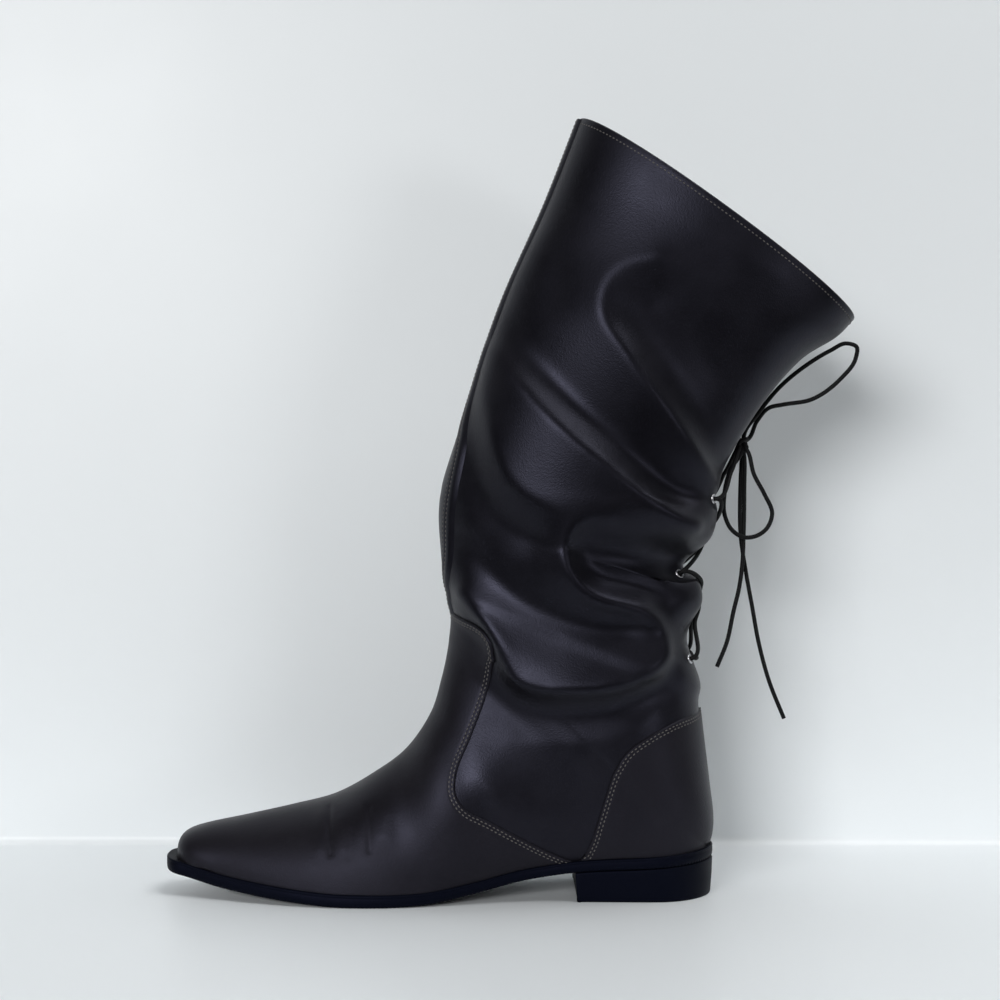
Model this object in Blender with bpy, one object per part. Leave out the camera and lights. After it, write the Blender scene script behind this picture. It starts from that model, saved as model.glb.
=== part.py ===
"""Left slouch boot with a snipped pointed toe, a low stacked heel and a laced back.

Sizes are in millimetres and MM turns them to metres. The floor is z = 0, the toe points
to -X, the outer side of the foot is -Y, and the origin lies under the middle of the heel.
"""

import math

import bmesh
import bpy
import numpy as np

MM = 0.001

# Driving sizes
SOLE_LENGTH = 279.5
BALL_WIDTH = 88.0
HEEL_BACK = 35.9
HEEL_BREAST = -35.5
SOLE_LEDGE = 3.0
WALL = 2.0
OVERLAY = 1.0
SEAT_GAP = 0.3

# Sole and heel edges
TOE_ROUND = 9.0
TOE_POWER = 2.6
HEEL_ROUND = 31.0
EDGE_ROUND = 1.2
SOLE_SECTIONS = 40
HEEL_SECTIONS = 16
HEEL_TAPER = 1.0
INSOLE_THICK = 2.0
INSOLE_ROOM = 3.6
INSOLE_SECTIONS = 26

# Upper mesh
GIRTH_CELLS = 28
SIDE_CROWDING = 0.3
ROW_LENGTH = 15.5
FOLD_FADE = 0.55
GROOVE_HALF = 9.0

# Back lacing
LACE = 2.2
EYELET_HOLE = 1.4
EYELET_BARREL = 1.8
EYELET_FLANGE = 2.7
EYELET_THICK = 0.6
EYELET_SIDES = 8
EYELET_COLUMN = 1
EYELET_NOTCHES = ("ankle_notch", "low_notch", "mid_notch")
KNOT_CENTRE = (51.5, 0.5, 229.0)
KNOT_RADIUS = 4.4
BAR_STAND = 3.4
PEG_STAND = 3.4

# Sole stations from the heel back to the toe tip: place as a share of the length,
# outer and inner half-width as shares of the ball width, underside height and edge height
SOLE_COLUMNS = ("along", "outer", "inner", "bottom", "edge")
SOLE_STATIONS = (
    (0.000, 0.352, 0.352, 18.9, 5.9),
    (0.128, 0.358, 0.352, 16.7, 5.8),
    (0.257, 0.350, 0.324, 14.7, 5.7),
    (0.350, 0.358, 0.293, 10.8, 5.7),
    (0.436, 0.403, 0.312, 5.2, 5.8),
    (0.515, 0.460, 0.381, 1.1, 6.1),
    (0.594, 0.494, 0.455, 0.0, 6.3),
    (0.672, 0.486, 0.495, 0.0, 6.5),
    (0.744, 0.443, 0.483, 1.3, 6.5),
    (0.826, 0.358, 0.415, 3.5, 6.6),
    (0.898, 0.267, 0.324, 6.3, 6.7),
    (0.958, 0.188, 0.239, 9.8, 6.8),
    (1.000, 0.153, 0.199, 12.2, 6.9),
)

# Foot sections of the upper: where the section stands on the sole and where its ridge lies,
# as shares of the sole length, ridge height, widest half-width where it is above the sole,
# roundness above and below it, and inward lean of the side where it leaves the sole
FOOT_COLUMNS = ("name", "base", "ridge", "height", "half", "crown", "flank", "lean")
FOOT_SECTIONS = (
    ("toe_edge", 0.923, 0.977, 0.0, 0.0, 2.6, 2.4, 20.0),
    ("toe_wall", 0.912, 0.975, 24.5, 0.0, 2.6, 2.4, 20.0),
    ("toe_corner", 0.901, 0.963, 29.0, 0.0, 2.5, 2.4, 20.0),
    ("toe_top", 0.880, 0.928, 32.4, 0.0, 2.3, 2.4, 17.0),
    ("toe_box", 0.833, 0.858, 36.4, 0.0, 2.2, 2.4, 11.0),
    ("toes", 0.762, 0.768, 42.0, 0.0, 2.1, 2.4, 6.0),
    ("ball_front", 0.687, 0.690, 48.0, 0.0, 2.05, 2.4, 2.0),
    ("ball", 0.604, 0.618, 59.3, 0.0, 2.0, 2.4, 0.0),
    ("instep_low", 0.508, 0.557, 72.5, 36.5, 1.95, 2.4, 0.0),
    ("instep", 0.386, 0.512, 91.0, 34.5, 1.95, 2.4, 0.0),
    ("waist", 0.257, 0.492, 109.0, 35.0, 2.0, 2.4, 0.0),
    ("heel_front", 0.112, 0.482, 122.0, 36.0, 2.05, 2.4, 0.0),
    ("heel_side", 0.050, 0.478, 130.5, 37.0, 2.05, 2.4, 0.0),
    ("heel_turn", 0.019, 0.476, 136.5, 37.5, 2.1, 2.4, 0.0),
    ("heel_back", 0.009, 0.476, 141.0, 38.0, 2.1, 2.4, 0.0),
)

# Shaft sections of the upper: back and front points of the section, widest half-width,
# roundness of its front and back, and depth of the lacing groove down its back
SHAFT_COLUMNS = ("name", "back", "back_height", "front", "front_height",
                 "half", "crown", "flank", "groove")
SHAFT_SECTIONS = (
    ("counter_low", 35.2, 37.0, -97.9, 144.5, 38.5, 2.1, 2.4, 0.0),
    ("counter_mid", 32.8, 58.0, -98.8, 148.0, 39.0, 2.1, 2.4, 0.0),
    ("counter_top", 28.7, 94.0, -99.6, 153.0, 40.0, 2.1, 2.3, 0.0),
    ("ankle_roll", 30.0, 107.0, -101.0, 158.0, 41.5, 2.1, 2.3, 1.0),
    ("ankle_notch", 23.6, 130.0, -102.8, 167.0, 42.0, 2.1, 2.2, 3.0),
    ("low_roll", 33.0, 147.0, -103.7, 177.0, 43.5, 2.1, 2.2, 6.0),
    ("low_shoulder", 31.5, 159.0, -104.2, 183.0, 43.5, 2.1, 2.2, 5.0),
    ("low_notch", 24.5, 166.0, -104.5, 189.0, 43.0, 2.1, 2.2, 5.0),
    ("mid_shoulder", 36.0, 180.0, -104.4, 195.5, 44.5, 2.1, 2.2, 6.0),
    ("mid_roll", 39.2, 193.0, -103.6, 203.0, 45.0, 2.1, 2.2, 7.0),
    ("mid_notch", 39.5, 207.0, -100.7, 215.5, 44.5, 2.1, 2.2, 6.0),
    ("calf", 61.0, 244.0, -88.3, 253.0, 45.0, 2.1, 2.2, 6.0),
    ("flare", 81.0, 269.5, -71.8, 301.0, 45.0, 2.1, 2.2, 3.0),
    ("cuff", 99.5, 282.5, -49.7, 351.0, 44.0, 2.1, 2.2, 1.0),
    ("collar", 108.0, 292.0, -32.7, 394.5, 43.5, 2.1, 2.2, 0.0),
)

# Folds of the shaft seen from the side: first, middle and last point of each fold line,
# its half-width and its height, which is below zero for a trough
# Columns: name, x1, z1, x2, z2, x3, z3, half-width, height
OUTER_FOLDS = (
    ("upper_roll", -76.9, 256.3, -28.9, 208.0, 18.0, 193.0, 17.0, 9.5),
    ("upper_valley", -74.5, 279.3, -24.0, 245.0, 30.8, 206.4, 11.0, -7.5),
    ("hook_top", 9.3, 316.6, -21.1, 301.9, -18.1, 278.4, 9.0, 4.0),
    ("hook_leg", -18.1, 280.8, 2.9, 244.1, 29.9, 208.8, 9.0, 5.0),
    ("calf_hollow", 10.3, 302.9, 25.0, 271.0, 42.1, 234.3, 17.0, -6.5),
    ("lower_valley", -36.8, 179.0, -8.3, 171.6, 22.5, 166.2, 11.0, -10.0),
    ("lower_roll", -83.8, 156.9, -36.3, 126.1, 16.0, 146.1, 15.0, 8.0),
    ("lower_hook", -19.1, 191.7, -40.7, 178.0, -26.0, 151.0, 9.0, 3.5),
    ("ankle_trough", -73.0, 104.9, -28.9, 95.2, 20.0, 119.6, 11.0, -3.5),
)
INNER_FOLDS = (
    ("upper_roll", -72.0, 250.0, -20.0, 214.0, 18.0, 196.0, 17.0, 9.0),
    ("upper_valley", -70.0, 276.0, -18.0, 252.0, 34.0, 210.0, 11.0, -7.0),
    ("calf_ridge", -24.0, 300.0, 6.0, 262.0, 40.0, 222.0, 10.0, 5.0),
    ("calf_hollow", 12.0, 306.0, 34.0, 276.0, 52.0, 246.0, 16.0, -6.0),
    ("middle_valley", -60.0, 190.0, -18.0, 174.0, 22.0, 166.5, 11.0, -9.0),
    ("lower_roll", -80.0, 152.0, -30.0, 128.0, 16.0, 146.0, 15.0, 8.0),
    ("ankle_trough", -70.0, 110.0, -25.0, 99.0, 20.0, 120.0, 11.0, -3.5),
)

# Edges of the lapped panels seen from the side, from the front or back edge to the sole
VAMP_SEAM = (
    (-98.2, 142.5), (-88.1, 139.7), (-79.0, 135.4), (-74.5, 128.2), (-76.0, 118.4),
    (-80.4, 101.3), (-87.8, 81.5), (-94.7, 64.2), (-95.2, 55.3), (-91.7, 49.1),
    (-77.9, 41.2), (-63.1, 33.1), (-49.2, 25.7), (-37.0, 20.0),
)
COUNTER_SEAM = (
    (29.8, 94.0), (12.5, 89.0), (0.0, 83.0), (-10.5, 75.5), (-17.5, 64.0),
    (-21.2, 52.5), (-25.0, 40.0), (-28.6, 28.5), (-33.0, 20.0),
)

# Routes of the bow, from the knot
LOOP_UP = (
    (55.2, 2.2, 231.8), (59.5, 4.0, 240.5), (66.0, 5.0, 247.6), (73.4, 5.0, 249.3), (87.8, 4.0, 251.9),
    (102.2, 2.0, 262.2), (109.9, 0.5, 273.0), (110.2, -0.3, 278.6), (104.8, -0.5, 280.4),
    (96.8, 0.0, 276.8), (82.9, 0.0, 268.2), (70.3, 0.0, 257.6), (59.7, 0.0, 244.6), (52.6, 0.0, 234.2),
)
LOOP_DOWN = (
    (53.8, -1.8, 225.3), (57.0, -3.6, 213.0), (62.2, -4.0, 203.1), (66.2, -4.0, 192.8),
    (63.4, -4.0, 185.4), (57.5, -4.0, 181.4), (51.5, -4.0, 181.0), (45.7, -4.0, 184.6),
    (42.0, -4.0, 192.0), (41.8, -4.0, 203.1), (45.0, -3.2, 215.5), (50.7, -1.4, 224.5),
)
END_SHORT = (
    (52.6, 2.4, 224.5), (53.0, 3.6, 206.2), (52.6, 3.4, 181.5), (52.0, 3.0, 168.0),
    (50.3, 2.6, 155.3), (47.2, 2.0, 142.5), (43.6, 1.4, 126.5), (38.5, 0.6, 114.2),
)
END_LONG = (
    (52.0, 4.6, 226.1), (51.6, 8.2, 206.2), (51.8, 8.4, 181.5), (54.4, 8.0, 163.0),
    (57.5, 7.6, 145.5), (61.1, 7.2, 125.5), (66.2, 6.8, 106.5), (73.9, 6.4, 87.0),
)


def column(rows, names, name):
    """One named column of a table as an array."""
    place = names.index(name)
    return np.array([row[place] for row in rows], float)


def smooth(places, values, at):
    """Smooth curve through the table points, read at the given places."""
    slopes = np.gradient(values, places)
    at = np.clip(at, places[0], places[-1])
    low = np.clip(np.searchsorted(places, at, side="right") - 1, 0, len(places) - 2)
    span = places[low + 1] - places[low]
    t = (at - places[low]) / span
    rise = values[low] * (1 + 2 * t) * (1 - t) ** 2 + values[low + 1] * t ** 2 * (3 - 2 * t)
    return rise + span * (slopes[low] * t * (1 - t) ** 2 + slopes[low + 1] * t ** 2 * (t - 1))


def through(points, spacing):
    """Points a given distance apart along a smooth curve through the route points."""
    route = np.asarray(points, float)
    run = np.concatenate(([0.0], np.cumsum(np.linalg.norm(np.diff(route, axis=0), axis=1))))
    count = max(2, int(round(run[-1] / spacing)) + 1)
    at = np.linspace(0.0, run[-1], count)
    return np.stack([smooth(run, route[:, axis], at) for axis in range(route.shape[1])], axis=1)


# Sole

def sole_read(name, x):
    share = (HEEL_BACK - np.asarray(x, float)) / SOLE_LENGTH
    return smooth(column(SOLE_STATIONS, SOLE_COLUMNS, "along"),
                  column(SOLE_STATIONS, SOLE_COLUMNS, name), share)


def sole_bottom(x):
    return np.maximum(sole_read("bottom", x), 0.0)


def sole_top(x):
    return sole_bottom(x) + sole_read("edge", x)


def sole_sides(x):
    """Middle and half-width of the sole outline, rounded off at the toe and the heel."""
    outer = BALL_WIDTH * sole_read("outer", x)
    inner = BALL_WIDTH * sole_read("inner", x)
    toe = np.clip((x - HEEL_BACK + SOLE_LENGTH) / TOE_ROUND, 0.0, 1.0)
    heel = np.clip((HEEL_BACK - x) / HEEL_ROUND, 0.0, 1.0)
    cap = (1 - (1 - toe) ** TOE_POWER) ** (1 / TOE_POWER) * np.sqrt(1 - (1 - heel) ** 2)
    return (inner - outer) / 2, (inner + outer) / 2 * cap


def feather_sides(x):
    """Middle and half-width of the line where the upper meets the sole."""
    middle = HEEL_BACK - SOLE_LENGTH / 2
    stretched = middle + (x - middle) * SOLE_LENGTH / (SOLE_LENGTH - 2 * SOLE_LEDGE)
    centre, half = sole_sides(np.clip(stretched, HEEL_BACK - SOLE_LENGTH, HEEL_BACK))
    return centre, half * (1 - 2 * SOLE_LEDGE / BALL_WIDTH)


# Upper as one surface: v counts sections from the toe to the collar, q runs round a section
# from the sole or back seam on the outer side, over the ridge, to the inner side

FOOT_COUNT = len(FOOT_SECTIONS)
HEEL_V = FOOT_COUNT - 1
LAST_V = FOOT_COUNT + len(SHAFT_SECTIONS) - 1


def station_table():
    """Foot and shaft tables as one set of columns, in millimetres."""
    base_x = HEEL_BACK - SOLE_LENGTH * column(FOOT_SECTIONS, FOOT_COLUMNS, "base")
    ridge_x = HEEL_BACK - SOLE_LENGTH * column(FOOT_SECTIONS, FOOT_COLUMNS, "ridge")
    seat = sole_top(ridge_x) + SEAT_GAP
    ridge_z = np.maximum(column(FOOT_SECTIONS, FOOT_COLUMNS, "height"), seat)
    table = {
        "base_x": (base_x, "back"), "base_z": (sole_top(base_x) + SEAT_GAP, "back_height"),
        "ridge_x": (ridge_x, "front"), "ridge_z": (ridge_z, "front_height"),
        "groove": (np.zeros(FOOT_COUNT), "groove"),
        "lean": (np.radians(column(FOOT_SECTIONS, FOOT_COLUMNS, "lean")), None),
    }
    for name in ("half", "crown", "flank"):
        table[name] = (column(FOOT_SECTIONS, FOOT_COLUMNS, name), name)
    none = np.zeros(len(SHAFT_SECTIONS))
    return {name: np.concatenate((foot, column(SHAFT_SECTIONS, SHAFT_COLUMNS, shaft) if shaft else none))
            for name, (foot, shaft) in table.items()}


STATIONS = station_table()
STATION_V = np.arange(LAST_V + 1, dtype=float)


def station(name, v):
    return smooth(STATION_V, STATIONS[name], v)


def plain_form(v, q):
    """Unfolded upper: a rounded section between its base and its ridge, open on the sole."""
    on_sole = v < HEEL_V
    base_x = station("base_x", v)
    base_z = np.where(on_sole, sole_top(base_x) + SEAT_GAP, station("base_z", v))
    ridge_x = station("ridge_x", v)
    ridge_z = station("ridge_z", v)
    centre, feather = feather_sides(base_x)
    centre = np.where(on_sole, centre, 0.0)
    feather = np.where(on_sole, feather, 0.0)
    flank = station("flank", v)
    crown = station("crown", v)
    half = station("half", v)
    swelling = half > feather
    lean = math.pi / 2 + np.maximum(station("lean", v), 0.0)
    lean_reach = (np.abs(np.cos(lean)) ** crown + np.sin(lean) ** crown) ** (-1 / crown)
    half = np.where(swelling, half, feather / (np.sin(lean) * lean_reach))
    foot = np.minimum(feather / half, 1.0)
    drop = np.where(swelling, (1 - foot ** flank) ** (1 / flank), np.cos(lean) * lean_reach)
    start = np.where(swelling, np.arctan2(foot, drop), lean)
    turn = 1 - np.abs(2 * q - 1)
    turn = turn + SIDE_CROWDING * np.sin(2 * math.pi * turn) / (2 * math.pi)
    angle = start + (math.pi - start) * turn
    cosine = np.cos(angle)
    sine = np.maximum(np.sin(angle), 0.0)
    power = np.where(cosine > 0, flank, crown)
    reach = (np.abs(cosine) ** power + sine ** power) ** (-1 / power)
    width = sine * reach
    y = centre + np.where(q < 0.5, -1.0, 1.0) * half * width
    length = np.hypot(ridge_x - base_x, ridge_z - base_z)
    groove = station("groove", v) * np.exp(-((y - centre) / GROOVE_HALF) ** 2) * (cosine > 0)
    share = (drop - cosine * reach) / (1 + drop) + groove / length
    x = base_x + share * (ridge_x - base_x)
    z = base_z + share * (ridge_z - base_z)
    z = z + np.where(v < 1, (1 - v) ** 2, 0.0) * (sole_top(x) + SEAT_GAP - z)
    return np.stack((x, y, z), axis=-1), width


def normal_of(form, v, q):
    """Outward direction of a surface, from its slopes along v and q."""
    step_v = 0.05
    step_q = 0.004
    along = form(np.minimum(v + step_v, LAST_V), q) - form(np.maximum(v - step_v, 0.0), q)
    round_ = form(v, np.minimum(q + step_q, 1.0)) - form(v, np.maximum(q - step_q, 0.0))
    normal = np.cross(along, round_)
    seam = (v >= HEEL_V) & ((q <= 0) | (q >= 1))
    normal[..., 1] = np.where(seam, 0.0, normal[..., 1])
    return normal / np.linalg.norm(normal, axis=-1, keepdims=True)


def fold_height(x, z, folds):
    """Height of all folds of one side: a soft ridge or trough along each fold line."""
    height = np.zeros_like(x)
    for name, x1, z1, x2, z2, x3, z3, half, rise in folds:
        line = through(((x1, z1), (x2, z2), (x3, z3)), half / 3)
        gap = np.hypot(x[..., None] - line[:, 0], z[..., None] - line[:, 1]).min(axis=-1)
        height += rise * np.exp(-(gap / half) ** 2)
    return height


def folded_form(v, q):
    """Upper with its folds, which fade out at the front and back lines of the shaft."""
    point, width = plain_form(v, q)
    fade = np.clip(width / FOLD_FADE, 0.0, 1.0)
    fade = fade * fade * (3 - 2 * fade)
    outer = fold_height(point[..., 0], point[..., 2], OUTER_FOLDS)
    inner = fold_height(point[..., 0], point[..., 2], INNER_FOLDS)
    height = fade * np.where(q < 0.5, outer, inner)
    return point + height[..., None] * normal_of(lambda a, b: plain_form(a, b)[0], v, q)


# Mesh helpers

def part_object(name, mesh_data, collection, color, roughness):
    """Named object with its own plain material."""
    mesh = bpy.data.meshes.new(name)
    mesh_data.to_mesh(mesh)
    mesh_data.free()
    made = bpy.data.objects.new(name, mesh)
    collection.objects.link(made)
    if color is not None:
        material = bpy.data.materials.new(name)
        material.use_nodes = True
        shader = material.node_tree.nodes["Principled BSDF"]
        shader.inputs["Base Color"].default_value = (*color, 1.0)
        shader.inputs["Roughness"].default_value = roughness
        mesh.materials.append(material)
    return made


def closed(points, faces):
    """Closed solid from points in millimetres and faces."""
    solid = bmesh.new()
    verts = [solid.verts.new(tuple(point)) for point in np.asarray(points) * MM]
    for face in faces:
        solid.faces.new([verts[index] for index in face])
    bmesh.ops.recalc_face_normals(solid, faces=solid.faces)
    bmesh.ops.triangulate(solid, faces=solid.faces)
    return solid


def loft(rings):
    """Solid through rings of points with a flat end at each side."""
    count = len(rings)
    size = len(rings[0])
    faces = [tuple(range(size)), tuple(range((count - 1) * size, count * size))]
    for ring in range(count - 1):
        for place in range(size):
            after = (place + 1) % size
            faces.append((ring * size + place, ring * size + after,
                          (ring + 1) * size + after, (ring + 1) * size + place))
    return closed(np.concatenate(rings), faces)


def spread(start, end, count):
    """Places from start to end, closer together near both ends."""
    return start + (end - start) * (1 - np.cos(np.linspace(0.0, math.pi, count))) / 2


def slab_ring(x, inset_x, centre, half, inset, low, high, taper):
    """Section of a sole slab with rounded edges: eight corners from the top outer one."""
    inner_half = max(half - inset, 0.4 * half)
    foot = half - taper * min(1.0, half / HEEL_ROUND)
    inner_foot = max(foot - inset, 0.4 * foot)
    outline = ((inset_x, -inner_half, high), (x, -half, high - inset), (x, -foot, low + inset),
               (inset_x, -inner_foot, low), (inset_x, inner_foot, low), (x, foot, low + inset),
               (x, half, high - inset), (inset_x, inner_half, high))
    return np.array([(px, centre + py, pz) for px, py, pz in outline])


# Grid of the upper

def grid_values():
    """Rows and columns of the upper mesh: rows about a fixed distance apart."""
    travel_base = np.hypot(np.diff(STATIONS["base_x"]), np.diff(STATIONS["base_z"]))
    travel_ridge = np.hypot(np.diff(STATIONS["ridge_x"]), np.diff(STATIONS["ridge_z"]))
    rows = []
    for place, travel in enumerate((travel_base + travel_ridge) / 2):
        steps = max(1, int(round(travel / ROW_LENGTH)))
        rows.extend(place + np.arange(steps) / steps)
    rows.append(LAST_V)
    return np.array(rows), np.linspace(0.0, 1.0, GIRTH_CELLS + 1)


ROWS, COLUMNS = grid_values()


def row_of(v):
    return int(np.argmin(np.abs(ROWS - v)))


def grid_normals(points):
    """Outward direction at each grid point, from the cells that meet there."""
    cells = np.cross(points[:-1, 1:] - points[1:, :-1], points[1:, 1:] - points[:-1, :-1])
    cells /= np.linalg.norm(cells, axis=-1, keepdims=True) + 1e-9
    normals = np.zeros_like(points)
    for across in (slice(None, -1), slice(1, None)):
        normals[:-1, across] += cells
        normals[1:, across] += cells
    back = ROWS >= HEEL_V
    normals[back, 0] += normals[back, -1]
    normals[back, -1] = normals[back, 0]
    normals[ON_SOLE, 2] = 0.0
    return -normals / np.linalg.norm(normals, axis=-1, keepdims=True)


GRID_V, GRID_Q = np.meshgrid(ROWS, COLUMNS, indexing="ij")
ON_SOLE = (GRID_V == 0) | ((GRID_V <= HEEL_V) & ((GRID_Q == 0) | (GRID_Q == 1)))
GRID = folded_form(GRID_V, GRID_Q)
GRID_OUT = grid_normals(GRID)


def lifted(lift):
    """Grid a given distance outside the upper, set down on the sole along its lower edge."""
    points = GRID + lift * GRID_OUT
    floor = sole_top(points[..., 0]) + SEAT_GAP
    points[..., 2] = np.where(ON_SOLE, floor, np.maximum(points[..., 2], floor))
    return points


def shell(count, lift_in, lift_out):
    """Closed wall of the first rows of the grid, between two lifts, open on the sole."""
    wide = len(COLUMNS)
    points = np.concatenate((lifted(lift_out)[:count].reshape(-1, 3),
                             lifted(lift_in)[:count].reshape(-1, 3)))

    def index(row, place, layer):
        if place == wide - 1 and ROWS[row] >= HEEL_V:
            place = 0
        return layer * count * wide + row * wide + place

    faces = []
    for layer in (0, 1):
        for row in range(count - 1):
            for place in range(wide - 1):
                here, there = (place, place + 1) if place < wide // 2 else (place + 1, place)
                near = index(row, here, layer)
                far = index(row + 1, there, layer)
                faces.append((near, index(row, there, layer), far))
                faces.append((near, far, index(row + 1, here, layer)))
    heel_row = row_of(HEEL_V)
    lower = [(0, place) for place in range(wide)]
    lower += [(row, wide - 1) for row in range(1, heel_row + 1)]
    lower += [(row, 0) for row in range(heel_row - 1, 0, -1)]
    upper = [(count - 1, place) for place in range(wide - 1)]
    for loop in (lower, upper):
        for here, there in zip(loop, loop[1:] + loop[:1]):
            faces.append((index(*here, 0), index(*there, 0), index(*there, 1), index(*here, 1)))
    used = sorted({corner for face in faces for corner in face})
    renumber = {corner: place for place, corner in enumerate(used)}
    return closed(points[used], [tuple(renumber[corner] for corner in face) for face in faces])


def strip(first_row, first, last, lift_in, lift_out):
    """Closed band between two grid columns, from a row up to the collar."""
    low = lifted(lift_in)[first_row:, first:last + 1]
    high = lifted(lift_out)[first_row:, first:last + 1]
    return loft([np.concatenate((top, under[::-1])) for top, under in zip(high, low)])


def prism(outline, reach):
    """Cutter through the whole width of the boot with a side-view outline."""
    outline = np.asarray(outline, float)
    rings = [np.stack((outline[:, 0], np.full(len(outline), side * reach), outline[:, 1]), axis=1)
             for side in (-1, 1)]
    return loft(rings)


def add_boolean(target, cutter, operation):
    modifier = target.modifiers.new(cutter.name, "BOOLEAN")
    modifier.operation = operation
    modifier.solver = "EXACT"
    modifier.object = cutter


def spokes(axis, sides):
    """Unit directions spread evenly round an axis."""
    first = np.cross(axis, (0.0, 0.0, 1.0))
    first /= np.linalg.norm(first)
    second = np.cross(axis, first)
    turns = 2 * math.pi * np.arange(sides) / sides
    return first * np.cos(turns)[:, None] + second * np.sin(turns)[:, None]


def rod(centre, axis, radius, low, high, sides):
    """Straight round solid between two heights on an axis."""
    ring = centre + radius * spokes(axis, sides)
    return loft([ring + low * axis, ring + high * axis])


def turned_ring(profile, centre, axis, sides):
    """Ring turned from a profile of (radius, height) points about an axis."""
    points = []
    faces = []
    size = len(profile)
    for side, spoke in enumerate(spokes(axis, sides)):
        points += [centre + spoke * radius + axis * height for radius, height in profile]
        ahead = (side + 1) % sides
        for place in range(size):
            after = (place + 1) % size
            faces.append((side * size + place, side * size + after,
                          ahead * size + after, ahead * size + place))
    return closed(points, faces)


def cord(name, points, collection, color):
    """Round cord with flat ends along a line of points."""
    curve = bpy.data.curves.new(name, "CURVE")
    curve.dimensions = "3D"
    curve.bevel_depth = LACE / 2 * MM
    curve.bevel_resolution = 2
    curve.use_fill_caps = True
    line = curve.splines.new("POLY")
    line.points.add(len(points) - 1)
    for place, point in zip(line.points, np.asarray(points) * MM):
        place.co = (*point, 1.0)
    made = bpy.data.objects.new(name, curve)
    collection.objects.link(made)
    if color is not None:
        material = bpy.data.materials.new(name)
        material.use_nodes = True
        shader = material.node_tree.nodes["Principled BSDF"]
        shader.inputs["Base Color"].default_value = (*color, 1.0)
        shader.inputs["Roughness"].default_value = 0.6
        curve.materials.append(material)
    return made


def cord_solid(name, points, collection, color):
    """Cord turned to a mesh, so that other cords can be joined to it."""
    line = cord(name + "_line", points, collection, color)
    mesh = bpy.data.meshes.new_from_object(line)
    mesh.name = name
    bpy.data.objects.remove(line, do_unlink=True)
    made = bpy.data.objects.new(name, mesh)
    collection.objects.link(made)
    return made


# Parts

LEATHER = (0.028, 0.027, 0.031)
LEATHER_LAP = (0.022, 0.020, 0.022)
RUBBER = (0.008, 0.009, 0.013)
LINING = (0.10, 0.085, 0.07)
METAL = (0.55, 0.55, 0.56)
CORD = (0.010, 0.010, 0.012)


def build_sole(parts):
    """Outsole with toe spring, arch and heel seat, the heel block below it and the insole."""
    toe_tip = HEEL_BACK - SOLE_LENGTH
    middle = (toe_tip + HEEL_BACK) / 2
    rings = []
    for x in spread(toe_tip + 0.05, HEEL_BACK - 0.05, SOLE_SECTIONS):
        centre, half = sole_sides(x)
        inset_x = middle + (x - middle) * (1 - 2 * EDGE_ROUND / SOLE_LENGTH)
        rings.append(slab_ring(x, inset_x, centre, half, EDGE_ROUND,
                               float(sole_bottom(x)), float(sole_top(x)), 0.0))
    part_object("outsole", loft(rings), parts, RUBBER, 0.6)

    rings = []
    heel_middle = (HEEL_BREAST + HEEL_BACK) / 2
    for share in np.sin(np.linspace(0.0, math.pi / 2, HEEL_SECTIONS)):
        x = HEEL_BREAST + (HEEL_BACK - 0.6 - HEEL_BREAST) * share
        centre, half = sole_sides(x)
        inset_x = x if share == 0 else heel_middle + (x - heel_middle) * 0.985
        rings.append(slab_ring(x, inset_x, centre, half - 0.3, 0.8, 0.0,
                               float(sole_bottom(x)) - SEAT_GAP, HEEL_TAPER))
    part_object("heel_block", loft(rings), parts, RUBBER, 0.55)

    rings = []
    toe = HEEL_BACK - SOLE_LENGTH + 3 * SOLE_LEDGE + WALL + INSOLE_ROOM
    for x in spread(toe, HEEL_BACK - SOLE_LEDGE - WALL - INSOLE_ROOM, INSOLE_SECTIONS):
        centre, half = feather_sides(x)
        half = max(half - WALL - INSOLE_ROOM, 0.8)
        low = float(sole_top(x)) + SEAT_GAP
        rings.append(np.array(((x, centre - half, low + INSOLE_THICK), (x, centre - half, low),
                               (x, centre + half, low), (x, centre + half, low + INSOLE_THICK))))
    part_object("insole", loft(rings), parts, LINING, 0.8)


def eyelet_rows():
    """Middle of the grid row that holds each pair of eyelets."""
    names = [row[0] for row in SHAFT_SECTIONS]
    rows = [row_of(FOOT_COUNT + names.index(notch)) for notch in EYELET_NOTCHES]
    return [(ROWS[row - 1] + ROWS[row]) / 2 for row in rows]


def eyelet_cells():
    """Seat and outward direction of each grid cell that holds an eyelet, outer side first."""
    cells = []
    for v in eyelet_rows():
        row = int(np.searchsorted(ROWS, v)) - 1
        for place in (EYELET_COLUMN, GIRTH_CELLS - 1 - EYELET_COLUMN):
            corners = GRID[row:row + 2, place:place + 2].reshape(-1, 3)
            axis = np.cross(corners[3] - corners[0], corners[1] - corners[2])
            axis /= np.linalg.norm(axis)
            axis *= np.sign(axis[0])
            middle = corners.mean(axis=0)
            twist = np.abs((corners - middle) @ axis).max()
            cells.append((middle + twist * axis, axis))
    return cells


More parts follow.
